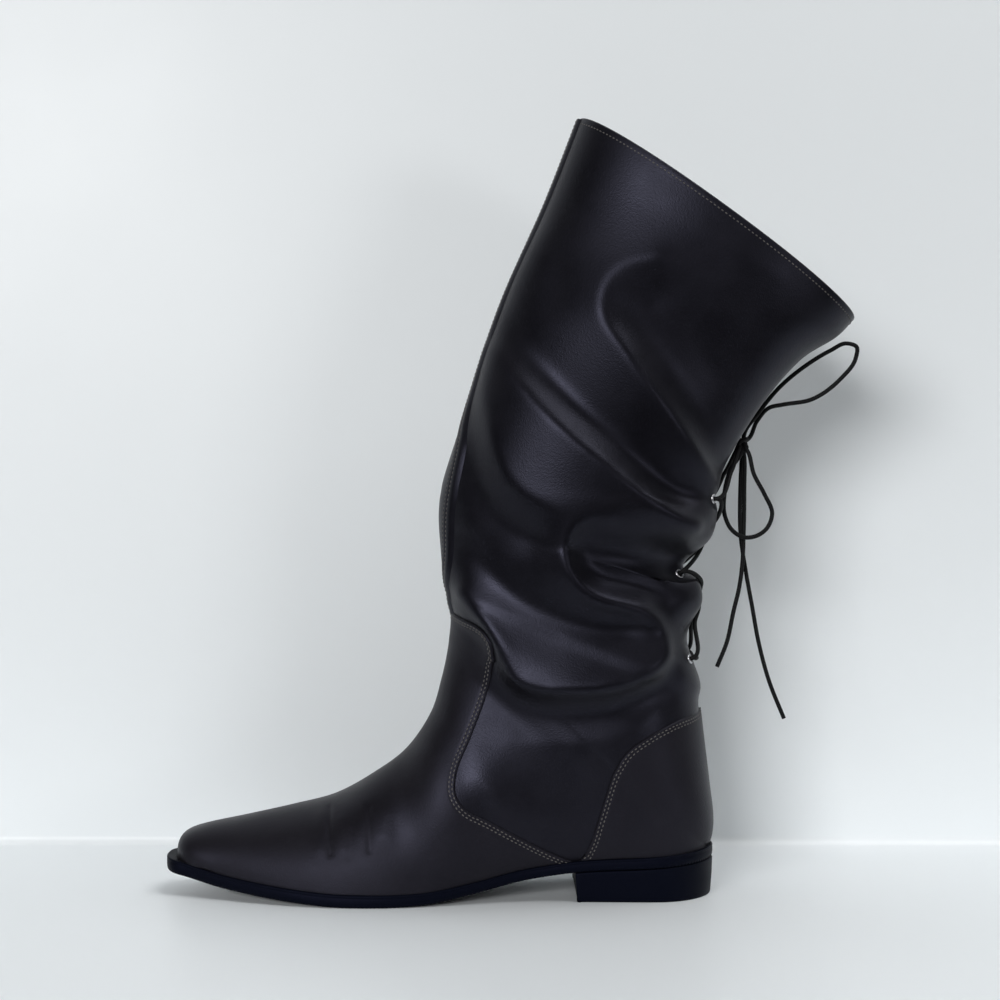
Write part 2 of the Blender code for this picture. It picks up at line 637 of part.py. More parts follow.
def build_upper(parts, cutters):
    """Hollow upper with its eyelet holes, the lapped panels and the front seam."""
    upper = part_object("upper", shell(len(ROWS), -WALL, 0.0), parts, LEATHER, 0.5)
    for place, (centre, axis) in enumerate(eyelet_cells()):
        hole = rod(centre, axis, EYELET_BARREL + SEAT_GAP, -6.0, 4.0, EYELET_SIDES)
        cutter = part_object(f"eyelet_hole_{place + 1}", hole, cutters, None, 0.0)
        add_boolean(upper, cutter, "DIFFERENCE")

    seam = through(VAMP_SEAM, 4.0)
    front = np.concatenate((seam, ((-37.0, -20.0), (-300.0, -20.0), (-300.0, 142.5))))
    lap = (row_of(HEEL_V + 4), SEAT_GAP, SEAT_GAP + OVERLAY)
    vamp = part_object("vamp", shell(*lap), parts, LEATHER_LAP, 0.5)
    cutter = part_object("vamp_outline", prism(front, 90.0), cutters, None, 0.0)
    add_boolean(vamp, cutter, "INTERSECT")

    seam = through(COUNTER_SEAM, 4.0)
    back = np.concatenate((seam, ((-33.0, -20.0), (80.0, -20.0), (80.0, 94.0))))
    counter = part_object("heel_counter", shell(*lap), parts, LEATHER_LAP, 0.5)
    cutter = part_object("counter_outline", prism(back, 90.0), cutters, None, 0.0)
    add_boolean(counter, cutter, "INTERSECT")

    first = row_of(FOOT_COUNT) + 1
    half = GIRTH_CELLS // 2
    part_object("front_seam", strip(first, half - 1, half, 2 * SEAT_GAP, 2 * SEAT_GAP + OVERLAY),
                parts, LEATHER, 0.5)


def build_eyelets(parts):
    for place, (centre, axis) in enumerate(eyelet_cells()):
        profile = ((EYELET_HOLE, -WALL - 0.4), (EYELET_BARREL, -WALL - 0.4),
                   (EYELET_BARREL, SEAT_GAP), (EYELET_FLANGE, SEAT_GAP),
                   (EYELET_FLANGE - 0.4, SEAT_GAP + EYELET_THICK), (EYELET_HOLE, SEAT_GAP + EYELET_THICK))
        ring = turned_ring(profile, centre, axis, EYELET_SIDES)
        side = "outer" if place % 2 == 0 else "inner"
        part_object(f"eyelet_{side}_{place // 2 + 1}", ring, parts, METAL, 0.3)


def over_back(low, high, start_side):
    """Lace line in the back groove, from a low eyelet to a high one on the other side."""
    pegs = [centre + PEG_STAND * axis for centre, axis in eyelet_cells()]
    rows = eyelet_rows()
    first = 2 * rows.index(low) + (start_side > 0)
    last = 2 * rows.index(high) + (start_side < 0)
    share = np.linspace(0.0, 1.0, 9)
    v = low + (high - low) * share
    side = start_side * (1 - 2 * share) * (EYELET_COLUMN + 0.5) / GIRTH_CELLS
    q = np.where(side < 0, -side, 1 - side)
    points = folded_form(v, q) + BAR_STAND * normal_of(folded_form, v, q)
    return through(np.vstack((pegs[first], points[2:-2], pegs[last])), 2.5 * LACE)


def build_lace(parts, cutters):
    """Lace bars between the eyelets as one solid, then the knot, the loops and the ends."""
    knot = np.array(KNOT_CENTRE)
    low, middle, high = eyelet_rows()
    paths = [over_back(low, low, -1)]
    for side in (-1, 1):
        paths.append(over_back(low, middle, side))
        paths.append(over_back(middle, high, side))
    for path in paths[2::2]:
        way = np.array((-0.5, 0.78 * np.sign(path[-1, 1]), -0.38))
        reach = (KNOT_RADIUS + SEAT_GAP + 0.3) / np.linalg.norm(way)
        paths.append(np.array((path[-1], knot + way * reach)))
    bars = cord_solid("lace_crossings", paths[0], parts, CORD)
    for place, path in enumerate(paths[1:]):
        bar = cord_solid(f"lace_bar_{place + 1}", path, cutters, None)
        add_boolean(bars, bar, "UNION")

    ball = bmesh.new()
    bmesh.ops.create_uvsphere(ball, u_segments=12, v_segments=8, radius=KNOT_RADIUS * MM)
    bmesh.ops.translate(ball, verts=ball.verts, vec=knot * MM)
    bmesh.ops.triangulate(ball, faces=ball.faces)
    part_object("lace_knot", ball, parts, CORD, 0.6)
    for name, route in (("lace_loop_up", LOOP_UP), ("lace_loop_down", LOOP_DOWN),
                        ("lace_end_short", END_SHORT), ("lace_end_long", END_LONG)):
        cord(name, through(route, 3 * LACE), parts, CORD)


def main():
    for old in list(bpy.data.objects):
        bpy.data.objects.remove(old, do_unlink=True)
    parts = bpy.data.collections.new("slouch_boot")
    cutters = bpy.data.collections.new("cutters")
    bpy.context.scene.collection.children.link(parts)
    bpy.context.scene.collection.children.link(cutters)
    build_sole(parts)
    build_upper(parts, cutters)
    build_eyelets(parts)
    build_lace(parts, cutters)
    for cutter in cutters.objects:
        cutter.hide_render = True
        cutter.display_type = "WIRE"


main()
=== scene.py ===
"""Dresses the slouch boot with leather, seams, sole and lace, and sets the studio round it.

Lengths in the tables are in millimetres and MM turns them to metres. The floor is z = 0, the
toe points to -X and the outer side of the left foot is -Y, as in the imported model.
"""

import math

import bmesh
import bpy
import numpy as np
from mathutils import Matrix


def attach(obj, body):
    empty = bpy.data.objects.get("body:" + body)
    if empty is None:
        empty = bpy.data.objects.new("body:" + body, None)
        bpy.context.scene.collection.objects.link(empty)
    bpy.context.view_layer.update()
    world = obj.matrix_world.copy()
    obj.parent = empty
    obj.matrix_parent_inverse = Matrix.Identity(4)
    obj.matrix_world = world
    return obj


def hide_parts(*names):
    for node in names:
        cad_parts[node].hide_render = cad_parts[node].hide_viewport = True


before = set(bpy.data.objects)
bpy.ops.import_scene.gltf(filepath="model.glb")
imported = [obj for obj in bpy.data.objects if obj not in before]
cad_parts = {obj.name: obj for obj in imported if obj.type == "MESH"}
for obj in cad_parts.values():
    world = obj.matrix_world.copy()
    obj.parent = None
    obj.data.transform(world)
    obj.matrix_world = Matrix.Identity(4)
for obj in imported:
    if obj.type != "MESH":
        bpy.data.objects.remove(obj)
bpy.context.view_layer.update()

bl_info = {
    "name": "Slouch boot",
    "version": (1, 0, 0),
    "blender": (4, 5, 0),
    "location": "3D View > Sidebar > Boot",
    "description": "Leather, seams, sole and lace of a slouch boot with a pointed toe",
    "category": "Object",
}

MM = 0.001


def linear(code):
    """Linear colour of an sRGB hex value."""
    channels = [int(code[place:place + 2], 16) / 255 for place in (1, 3, 5)]
    return [c / 12.92 if c <= 0.04045 else ((c + 0.055) / 1.055) ** 2.4 for c in channels] + [1.0]


# Sizes and colours that a user would change

def length(name, description, default):
    return bpy.props.FloatProperty(name=name, description=description, default=default * MM,
                                   unit="LENGTH", precision=5)


def colour(name, description, code):
    return bpy.props.FloatVectorProperty(name=name, description=description, default=linear(code),
                                         subtype="COLOR", size=4, min=0.0, max=1.0)


class BootSizes(bpy.types.PropertyGroup):
    """Sizes of the pieces laid on the last shape."""
    wall: length("Wall", "Thickness of the shaft leather with its lining", 2.0)
    lap: length("Lap", "Thickness of a panel that laps over the shaft", 1.0)
    stitch_pitch: length("Stitch pitch", "Distance from one stitch to the next", 2.3)
    stitch_length: length("Stitch length", "Length of one stitch that shows", 1.35)
    stitch_width: length("Stitch width", "Width of the sewing thread", 0.65)
    first_row: length("First row", "Distance of the first stitch row from a lapped edge", 1.4)
    second_row: length("Second row", "Distance of the second stitch row from a lapped edge", 2.9)
    lace: length("Lace", "Diameter of the round lace", 2.2)
    eyelet: length("Eyelet", "Outer radius of an eyelet's flange", 2.6)


class BootColours(bpy.types.PropertyGroup):
    """Colours of the materials."""
    leather: colour("Shaft leather", "Cool charcoal of the shaft", "#0f0e11")
    leather_deep: colour("Shaft leather, deep", "Darker cast in the grain", "#09080b")
    panel: colour("Panel leather", "Browner charcoal of vamp and counter", "#151315")
    panel_deep: colour("Panel leather, deep", "Darker cast in the grain", "#0d0b0d")
    rubber: colour("Rubber", "Blue-black of sole and heel", "#03050c")
    lining: colour("Lining", "Lining leather of shaft and insole", "#59524b")
    thread: colour("Thread", "Grey-beige sewing thread", "#5c5957")
    nickel: colour("Nickel", "Plated brass of the eyelets", "#c8c8cb")
    cord: colour("Cord", "Waxed cotton of the lace", "#08080a")
    floor: colour("Floor", "Pale studio floor", "#eef2f4")


# Last shape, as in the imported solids

SOLE_LENGTH = 279.5
BALL_WIDTH = 88.0
HEEL_BACK = 35.9
HEEL_BREAST = -35.5
SOLE_LEDGE = 3.0
SEAT_GAP = 0.3
NOTCH_DEPTH = 0.22
NOTCH_PITCH = 2.0
TOE_ROUND = 9.0
TOE_POWER = 2.6
HEEL_ROUND = 31.0
SIDE_CROWDING = 0.3
FOLD_FADE = 0.55
GROOVE_HALF = 9.0
EASE_FROM = 6.2
EASE_TO = 9.8
EASE_TURNS = 700

# Sole stations from the heel back to the toe tip: place as a share of the length, outer and
# inner half-width as shares of the ball width, underside height and edge height
SOLE_COLUMNS = ("along", "outer", "inner", "bottom", "edge")
SOLE_STATIONS = (
    (0.000, 0.352, 0.352, 18.9, 5.9),
    (0.128, 0.358, 0.352, 16.7, 5.8),
    (0.257, 0.350, 0.324, 14.7, 5.7),
    (0.350, 0.358, 0.293, 10.8, 5.7),
    (0.436, 0.403, 0.312, 5.2, 5.8),
    (0.515, 0.460, 0.381, 1.1, 6.1),
    (0.594, 0.494, 0.455, 0.0, 6.3),
    (0.672, 0.486, 0.495, 0.0, 6.5),
    (0.744, 0.443, 0.483, 1.3, 6.5),
    (0.826, 0.358, 0.415, 3.5, 6.6),
    (0.898, 0.267, 0.324, 6.3, 6.7),
    (0.958, 0.188, 0.239, 9.8, 6.8),
    (1.000, 0.153, 0.199, 12.2, 6.9),
)

# Foot sections: base and ridge as shares of the sole length, ridge height, widest half-width
# where it is above the sole, roundness above and below it, inward lean of the side
FOOT_COLUMNS = ("name", "base", "ridge", "height", "half", "crown", "flank", "lean")
FOOT_SECTIONS = (
    ("toe_edge", 0.923, 0.977, 0.0, 0.0, 2.6, 2.4, 20.0),
    ("toe_wall", 0.912, 0.975, 24.5, 0.0, 2.6, 2.4, 20.0),
    ("toe_corner", 0.901, 0.963, 29.0, 0.0, 2.5, 2.4, 20.0),
    ("toe_top", 0.880, 0.928, 32.4, 0.0, 2.3, 2.4, 17.0),
    ("toe_box", 0.833, 0.858, 36.4, 0.0, 2.2, 2.4, 11.0),
    ("toes", 0.762, 0.768, 42.0, 0.0, 2.1, 2.4, 6.0),
    ("ball_front", 0.687, 0.690, 48.0, 0.0, 2.05, 2.4, 2.0),
    ("ball", 0.604, 0.618, 59.3, 0.0, 2.0, 2.4, 0.0),
    ("instep_low", 0.508, 0.557, 72.5, 36.5, 1.95, 2.4, 0.0),
    ("instep", 0.386, 0.512, 91.0, 34.5, 1.95, 2.4, 0.0),
    ("waist", 0.257, 0.492, 109.0, 35.0, 2.0, 2.4, 0.0),
    ("heel_front", 0.112, 0.482, 122.0, 36.0, 2.05, 2.4, 0.0),
    ("heel_side", 0.050, 0.478, 130.5, 37.0, 2.05, 2.4, 0.0),
    ("heel_turn", 0.019, 0.476, 136.5, 37.5, 2.1, 2.4, 0.0),
    ("heel_back", 0.009, 0.476, 141.0, 38.0, 2.1, 2.4, 0.0),
)

# Shaft sections: back and front points, widest half-width, roundness of front and back,
# and depth of the lacing groove
SHAFT_COLUMNS = ("name", "back", "back_height", "front", "front_height",
                 "half", "crown", "flank", "groove")
SHAFT_SECTIONS = (
    ("counter_low", 35.2, 37.0, -97.9, 144.5, 38.5, 2.1, 2.4, 0.0),
    ("counter_mid", 32.8, 58.0, -98.8, 148.0, 39.0, 2.1, 2.4, 0.0),
    ("counter_top", 28.7, 94.0, -99.6, 153.0, 40.0, 2.1, 2.3, 0.0),
    ("ankle_roll", 30.0, 107.0, -101.0, 158.0, 41.5, 2.1, 2.3, 1.0),
    ("ankle_notch", 23.6, 130.0, -102.8, 167.0, 42.0, 2.1, 2.2, 3.0),
    ("low_roll", 33.0, 147.0, -103.7, 177.0, 43.5, 2.1, 2.2, 6.0),
    ("low_shoulder", 31.5, 159.0, -104.2, 183.0, 43.5, 2.1, 2.2, 5.0),
    ("low_notch", 24.5, 166.0, -104.5, 189.0, 43.0, 2.1, 2.2, 5.0),
    ("mid_shoulder", 36.0, 180.0, -104.4, 195.5, 44.5, 2.1, 2.2, 6.0),
    ("mid_roll", 39.2, 193.0, -103.6, 203.0, 45.0, 2.1, 2.2, 7.0),
    ("mid_notch", 39.5, 207.0, -100.7, 215.5, 44.5, 2.1, 2.2, 6.0),
    ("calf", 61.0, 244.0, -88.3, 253.0, 45.0, 2.1, 2.2, 6.0),
    ("flare", 81.0, 269.5, -71.8, 301.0, 45.0, 2.1, 2.2, 3.0),
    ("cuff", 99.5, 282.5, -49.7, 351.0, 44.0, 2.1, 2.2, 1.0),
    ("collar", 108.0, 292.0, -32.7, 394.5, 43.5, 2.1, 2.2, 0.0),
)

# Fold lines of the shaft seen from the side: height at the start, middle and end of the line,
# above or below the unfolded leather, and the points (x, z) that the line passes through
FOLD_LINES = (
    ("flap_crest", 2.0, 5.5, 3.5, (
        (6.0, 318.5), (-6.0, 317.1), (-17.8, 310.9), (-22.8, 300.7), (-22.3, 289.5), (-18.3, 281.6),
        (-11.2, 272.4), (-2.8, 259.3), (9.5, 242.8), (23.5, 222.4), (34.9, 207.9))),
    ("flap_slope", 0.0, -1.5, -2.5, (
        (4.0, 310.5), (-7.0, 305.5), (-12.5, 297.0), (-6.0, 280.0), (2.9, 265.3), (15.2, 248.8),
        (29.2, 228.4), (38.5, 214.5))),
    ("flap_hollow", -2.5, -5.0, -4.5, (
        (8.0, 303.5), (-1.5, 296.5), (1.5, 283.0), (10.5, 268.5), (22.5, 252.0), (35.0, 233.5))),
    ("flap_floor", -4.0, -5.5, -4.0, ((20.0, 293.0), (25.0, 277.0), (35.5, 261.0), (46.0, 246.0))),
    ("flap_far", -1.5, -2.5, -2.0, ((28.2, 310.4), (46.6, 288.3), (58.4, 262.2))),
    ("upper_valley", -2.0, -3.0, -4.0, (
        (-69.5, 286.5), (-50.5, 262.0), (-34.5, 244.5), (-18.5, 231.0), (-2.5, 216.5), (8.0, 208.0),
        (19.0, 201.0))),
    ("roll_crest", 3.5, 7.5, 8.5, (
        (-79.3, 278.8), (-59.6, 253.8), (-43.1, 236.0), (-26.8, 221.8), (-10.2, 207.3), (0.7, 198.2),
        (12.3, 191.4), (21.9, 186.9))),
    ("roll_edge", 4.0, 4.0, 5.0, (
        (-79.1, 275.9), (-77.4, 251.8), (-74.6, 229.7), (-66.1, 209.0), (-54.3, 199.6), (-41.7, 195.4),
        (-28.4, 194.4))),
    ("under_roll", -0.5, -4.5, -4.5, (
        (-87.5, 246.0), (-88.5, 222.0), (-82.0, 199.5), (-69.0, 187.0), (-56.0, 181.0))),
    ("front_flank", 0.5, -2.0, -4.0, ((-93.4, 230.6), (-96.4, 205.1), (-97.9, 179.9))),
    ("hook_crest", 4.5, 4.5, 5.5, (
        (-17.0, 192.0), (-28.5, 192.5), (-37.4, 186.5), (-41.2, 177.7), (-39.6, 167.7), (-33.8, 158.7),
        (-26.5, 153.6), (-14.8, 150.2), (-3.4, 146.9), (2.6, 142.3), (6.5, 129.8))),
    ("hook_slope", -1.0, -8.0, -8.5, (
        (-28.0, 185.5), (-33.0, 181.5), (-34.3, 176.0), (-32.8, 170.5), (-28.0, 163.5), (-22.0, 159.5),
        (-12.0, 156.5), (0.5, 153.0), (10.0, 149.5))),
    ("hook_hollow", -4.5, -6.5, -8.5, ((-21.4, 177.3), (-9.4, 172.2), (6.6, 168.4), (19.5, 165.4))),
    ("hook_shoulder", -1.5, -3.0, -5.0, ((-10.4, 182.3), (2.6, 179.4), (17.5, 174.4))),
    ("shin_valley", -6.0, -5.5, -3.5, (
        (-88.0, 171.0), (-78.0, 158.5), (-66.0, 149.5), (-50.5, 143.4), (-34.0, 138.7), (-18.2, 136.0),
        (-7.2, 135.7))),
    ("tongue_top", 1.0, 0.5, 2.5, (
        (-78.0, 146.5), (-69.0, 138.5), (-60.0, 131.5), (-52.8, 127.5), (-38.1, 125.4), (-20.0, 123.0),
        (-4.1, 124.9))),
    ("tongue_front", 3.0, 6.0, 7.5, (
        (-92.0, 155.0), (-81.5, 144.0), (-75.5, 135.5), (-70.5, 127.2), (-67.0, 119.5), (-64.2, 111.7))),
    ("tongue_edge", 7.5, 7.5, 6.5, (
        (-64.2, 111.7), (-53.8, 107.6), (-38.7, 107.0), (-26.2, 107.5), (-13.8, 110.2), (-1.2, 115.4),
        (6.4, 120.6), (6.5, 129.8))),
    ("vamp_calm", 0.0, 0.0, 0.0, (
        (-92.0, 139.5), (-83.5, 134.5), (-79.0, 127.0), (-80.0, 117.5), (-84.4, 100.8), (-91.8, 81.0),
        (-98.5, 64.0), (-99.2, 54.5), (-94.0, 45.5))),
    ("ankle_trough", -0.5, -3.0, -3.0, (
        (-73.9, 112.9), (-67.5, 101.3), (-44.0, 96.0), (-18.7, 97.2), (2.6, 104.9), (13.3, 114.6))),
    ("eyelet_rim", 1.5, 1.5, 1.0, ((19.1, 135.1), (14.4, 127.3), (13.2, 121.0), (17.1, 111.8))),
    ("front_glow", 1.0, 1.2, 0.5, ((-68.4, 309.2), (-61.9, 321.7), (-53.0, 331.6))),
    ("front_dark", -0.5, -1.0, -1.0, ((-43.4, 326.6), (-43.7, 310.2), (-48.5, 296.6))),
    ("collar_calm", 0.0, 0.0, 0.0, ((-23.4, 358.9), (5.3, 342.3), (34.4, 329.8), (66.0, 308.4))),
    ("quarter_calm", 0.0, 0.0, 0.0, ((-70.5, 81.0), (-43.3, 79.2), (-18.9, 81.7), (6.5, 95.0))),
    ("quarter_swell", 1.2, 1.5, 0.6, ((-84.5, 63.5), (-75.0, 53.0), (-63.0, 45.0))),
    ("quarter_low", 0.0, 0.0, 0.0, ((-88.0, 48.5), (-73.0, 40.5), (-57.0, 34.0))),
    ("quarter_dip", -0.6, -0.8, -0.6, ((-66.0, 71.0), (-52.0, 60.0), (-36.0, 52.0))),
)
RELIEF_STEP = 1.25
RELIEF_LOW = (-125.0, 20.0)
RELIEF_HIGH = (120.0, 405.0)
RELIEF_TURNS = 1200
CREST_BLUR = 2
HOLLOW_BLUR = 18
INNER_SHIFT = (-3.0, -4.0)

# Small creases where the toes bend, seen from the side: ends, half-width and height
TOE_CREASES = (
    ("long_crease", -158.5, 43.5, -156.5, 25.0, 1.7, -0.50),
    ("long_fore", -163.0, 40.0, -162.0, 27.0, 3.0, 0.30),
    ("long_back", -152.0, 39.0, -150.5, 28.0, 3.0, 0.32),
    ("short_crease", -138.0, 46.0, -137.0, 27.0, 1.8, -0.45),
    ("short_back", -129.0, 43.5, -129.5, 35.0, 4.5, 0.55),
    ("side_crease", -146.0, 36.0, -147.0, 24.0, 1.8, -0.20),
)

# Edges of the lapped panels seen from the side, from the front or back edge to the sole
VAMP_SEAM = (
    (-98.2, 142.5), (-88.1, 139.7), (-79.0, 135.4), (-74.5, 128.2), (-76.0, 118.4),
    (-80.4, 101.3), (-87.8, 81.5), (-94.7, 64.2), (-95.2, 55.3), (-91.7, 49.1),
    (-77.9, 41.2), (-63.1, 33.1), (-49.2, 25.7), (-37.0, 20.0),
)
COUNTER_SEAM = (
    (29.8, 94.0), (12.5, 89.0), (0.0, 83.0), (-10.5, 75.5), (-17.5, 64.0),
    (-21.2, 52.5), (-25.0, 40.0), (-28.6, 28.5), (-33.0, 20.0),
)

# Front seam: height, and how far the inner stitch row lies behind the front edge
FRONT_SEAM = (
    (140.0, 0.4), (158.0, 0.8), (170.0, 3.2), (190.0, 5.1), (207.0, 5.6), (226.0, 3.9),
    (239.0, 1.8), (262.0, 0.6), (300.0, 0.3), (395.0, 0.3),
)
FRONT_ROWS = (1.5, 4.1)
FRONT_SINK = 0.3
LAP_ACROSS = np.array((10.0, 9.0, 8.0, 7.0, 6.2, 5.6, 5.0, 4.6, 4.1, 3.6, 3.1, 2.5, 2.0, 1.5, 1.0, 0.6,
                       0.3, 0.1, 0.0))

# Lapped panels: distances of the grid rows near the lapped edge and spacing of the others, how
# far an edge sinks into the leather and below the sole's top, channel under a stitch row, rows
# of a grid that a stitch row is looked for in, and rounds that smooth the counter
PANEL_NEAR = np.array((6.0, 5.2, 4.5, 3.9, 3.4, 2.9, 2.4, 1.9, 1.4, 1.0, 0.65, 0.35, 0.12, 0.0))
PANEL_SPACING = 1.5
HEM_SINK = 0.4
SOLE_SINK = 0.6
CHANNEL_DEPTH = 0.16
CHANNEL_HALF = 0.5
STITCH_HEIGHT = 0.35
SEW_ROWS = 40
COLLAR_ROW = 2.4
COUNTER_TURNS = 14

# Places of the eyelets from the lowest up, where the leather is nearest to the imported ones:
# section, and way round it from the back seam. Then the radius of the ring's rolled edge
EYELET_PLACES = ((18.50, 0.0537), (21.80, 0.0475), (24.64, 0.0537))
RING_ROLL = 0.55
RING_SIDES = 32

# Lace: centre, radius and depth of the knot, share of the way out from its centre at which a
# cord starts, stand of a bar off the leather, heights of the lace inside, in and outside an
# eyelet, sides of the round lace, and routes of the bow from the knot
KNOT_CENTRE = (51.5, 0.5, 229.0)
KNOT_RADIUS = 4.4
KNOT_DEPTH = 1.9
CORD_TUCK = 0.45
BAR_STAND = 1.7
LACE_INSIDE, LACE_IN_RING, LACE_OUTSIDE = -4.0, 0.2, 1.5
LACE_SIDES = 12
LOOP_UP = (
    (55.2, 2.2, 231.8), (59.5, 4.0, 240.5), (66.0, 5.0, 247.6), (73.4, 5.0, 249.3), (87.8, 4.0, 251.9),
    (102.2, 2.0, 262.2), (109.9, 0.5, 273.0), (110.2, -0.3, 278.6), (104.8, -0.5, 280.4),
    (96.8, 0.0, 276.8), (82.9, 0.0, 268.2), (70.3, 0.0, 257.6), (59.7, 0.0, 244.6), (52.6, 0.0, 234.2),
)
LOOP_DOWN = (
    (53.8, -1.8, 225.3), (57.0, -3.6, 213.0), (62.2, -4.0, 203.1), (66.2, -4.0, 192.8),
    (63.4, -4.0, 185.4), (57.5, -4.0, 181.4), (51.5, -4.0, 181.0), (45.7, -4.0, 184.6),
    (42.0, -4.0, 192.0), (41.8, -4.0, 203.1), (45.0, -3.2, 215.5), (50.7, -1.4, 224.5),
)
END_SHORT = (
    (52.6, 2.4, 224.5), (53.0, 3.6, 206.2), (52.6, 3.4, 181.5), (52.0, 3.0, 168.0),
    (50.3, 2.6, 155.3), (47.2, 2.0, 142.5), (43.6, 1.4, 126.5), (38.5, 0.6, 114.2),
)
END_LONG = (
    (52.0, 4.6, 226.1), (51.6, 8.2, 206.2), (51.8, 8.4, 181.5), (54.4, 8.0, 163.0),
    (57.5, 7.6, 145.5), (61.1, 7.2, 125.5), (66.2, 6.8, 106.5), (73.9, 6.4, 87.0),
)


def column(rows, names, name):
    """One named column of a table as an array."""
    place = names.index(name)
    return np.array([row[place] for row in rows], float)


def smooth(places, values, at):
    """Cubic curve through the table points with the mean slope of the neighbours at each."""
    slopes = np.gradient(values, places)
    at = np.clip(at, places[0], places[-1])
    low = np.clip(np.searchsorted(places, at, side="right") - 1, 0, len(places) - 2)
    span = places[low + 1] - places[low]
    t = (at - places[low]) / span
    rise = values[low] * (1 + 2 * t) * (1 - t) ** 2 + values[low + 1] * t ** 2 * (3 - 2 * t)
    return rise + span * (slopes[low] * t * (1 - t) ** 2 + slopes[low + 1] * t ** 2 * (t - 1))


def runs(points):
    """Distance along a line of points to each of them."""
    steps = np.linalg.norm(np.diff(points, axis=0), axis=1)
    return np.concatenate(([0.0], np.cumsum(steps)))


def through(points, spacing):
    """Points a given distance apart along a smooth curve through the route points."""
    route = np.asarray(points, float)
    run = runs(route)
    at = np.linspace(0.0, run[-1], max(2, int(round(run[-1] / spacing)) + 1))
    return np.stack([smooth(run, route[:, axis], at) for axis in range(route.shape[1])], axis=1)


def read_line(at, run, line):
    """Points of a line at distances along it."""
    return np.stack([np.interp(at, run, line[:, axis]) for axis in range(line.shape[1])], axis=1)


def soft_step(t):
    """Zero below 0, one above 1, and 3t^2 - 2t^3 between."""
    t = np.clip(t, 0.0, 1.0)
    return t * t * (3 - 2 * t)


def unit(vectors):
    return vectors / (np.linalg.norm(vectors, axis=-1, keepdims=True) + 1e-9)


def sole_read(name, x):
    share = (HEEL_BACK - np.asarray(x, float)) / SOLE_LENGTH
    return smooth(column(SOLE_STATIONS, SOLE_COLUMNS, "along"),
                  column(SOLE_STATIONS, SOLE_COLUMNS, name), share)


def sole_bottom(x):
    return np.maximum(sole_read("bottom", x), 0.0)


def sole_top(x):
    return sole_bottom(x) + sole_read("edge", x)


def sole_sides(x):
    """Middle and half-width of the sole outline, rounded off at the toe and the heel."""
    outer = BALL_WIDTH * sole_read("outer", x)
    inner = BALL_WIDTH * sole_read("inner", x)
    toe = np.clip((x - HEEL_BACK + SOLE_LENGTH) / TOE_ROUND, 0.0, 1.0)
    heel = np.clip((HEEL_BACK - x) / HEEL_ROUND, 0.0, 1.0)
    cap = (1 - (1 - toe) ** TOE_POWER) ** (1 / TOE_POWER) * np.sqrt(1 - (1 - heel) ** 2)
    return (inner - outer) / 2, (inner + outer) / 2 * cap


def feather_sides(x):
    """Middle and half-width of the line where the upper meets the sole."""
    middle = HEEL_BACK - SOLE_LENGTH / 2
    stretched = middle + (x - middle) * SOLE_LENGTH / (SOLE_LENGTH - 2 * SOLE_LEDGE)
    centre, half = sole_sides(np.clip(stretched, HEEL_BACK - SOLE_LENGTH, HEEL_BACK))
    return centre, half * (1 - 2 * SOLE_LEDGE / BALL_WIDTH)


FOOT_COUNT = len(FOOT_SECTIONS)
HEEL_V = FOOT_COUNT - 1
LAST_V = FOOT_COUNT + len(SHAFT_SECTIONS) - 1


def station_table():
    """Foot and shaft tables as one set of columns, in millimetres."""
    base_x = HEEL_BACK - SOLE_LENGTH * column(FOOT_SECTIONS, FOOT_COLUMNS, "base")
    ridge_x = HEEL_BACK - SOLE_LENGTH * column(FOOT_SECTIONS, FOOT_COLUMNS, "ridge")
    seat = sole_top(ridge_x) + SEAT_GAP
    ridge_z = np.maximum(column(FOOT_SECTIONS, FOOT_COLUMNS, "height"), seat)
    table = {
        "base_x": (base_x, "back"), "base_z": (sole_top(base_x) + SEAT_GAP, "back_height"),
        "ridge_x": (ridge_x, "front"), "ridge_z": (ridge_z, "front_height"),
        "groove": (np.zeros(FOOT_COUNT), "groove"),
        "lean": (np.radians(column(FOOT_SECTIONS, FOOT_COLUMNS, "lean")), None),
    }
    for name in ("half", "crown", "flank"):
        table[name] = (column(FOOT_SECTIONS, FOOT_COLUMNS, name), name)
    none = np.zeros(len(SHAFT_SECTIONS))
    return {name: np.concatenate((foot, column(SHAFT_SECTIONS, SHAFT_COLUMNS, shaft) if shaft else none))
            for name, (foot, shaft) in table.items()}


STATIONS = station_table()
STATION_V = np.arange(LAST_V + 1, dtype=float)


def station(name, v):
    return smooth(STATION_V, STATIONS[name], v)


def section_drop(v):
    """How far below its widest place a section meets the sole, as a share of the height above
    that place; below zero where the side leans in over the sole."""
    feather = feather_sides(station("base_x", v))[1] * (v < HEEL_V)
    flank = station("flank", v)
    crown = station("crown", v)
    half = station("half", v)
    lean = math.pi / 2 + np.maximum(station("lean", v), 0.0)
    lean_reach = (np.abs(np.cos(lean)) ** crown + np.sin(lean) ** crown) ** (-1 / crown)
    foot = np.minimum(feather / np.maximum(half, 1e-6), 1.0)
    return np.where(half > feather, (1 - foot ** flank) ** (1 / flank), np.cos(lean) * lean_reach)


def eased_drop():
    """Drop of the sections from toe to heel, with its sudden start behind the ball eased: the
    mean of near sections, repeated."""
    v = np.linspace(0.0, LAST_V, 50 * LAST_V + 1)
    drop = section_drop(v)
    mean = drop.copy()
    for _ in range(EASE_TURNS):
        mean[1:-1] = (mean[:-2] + 2 * mean[1:-1] + mean[2:]) / 4
    share = soft_step((v - EASE_FROM) / 0.8) * soft_step((EASE_TO - v) / 0.8)
    return v, drop + share * (mean - drop)


DROP_V, DROP = eased_drop()


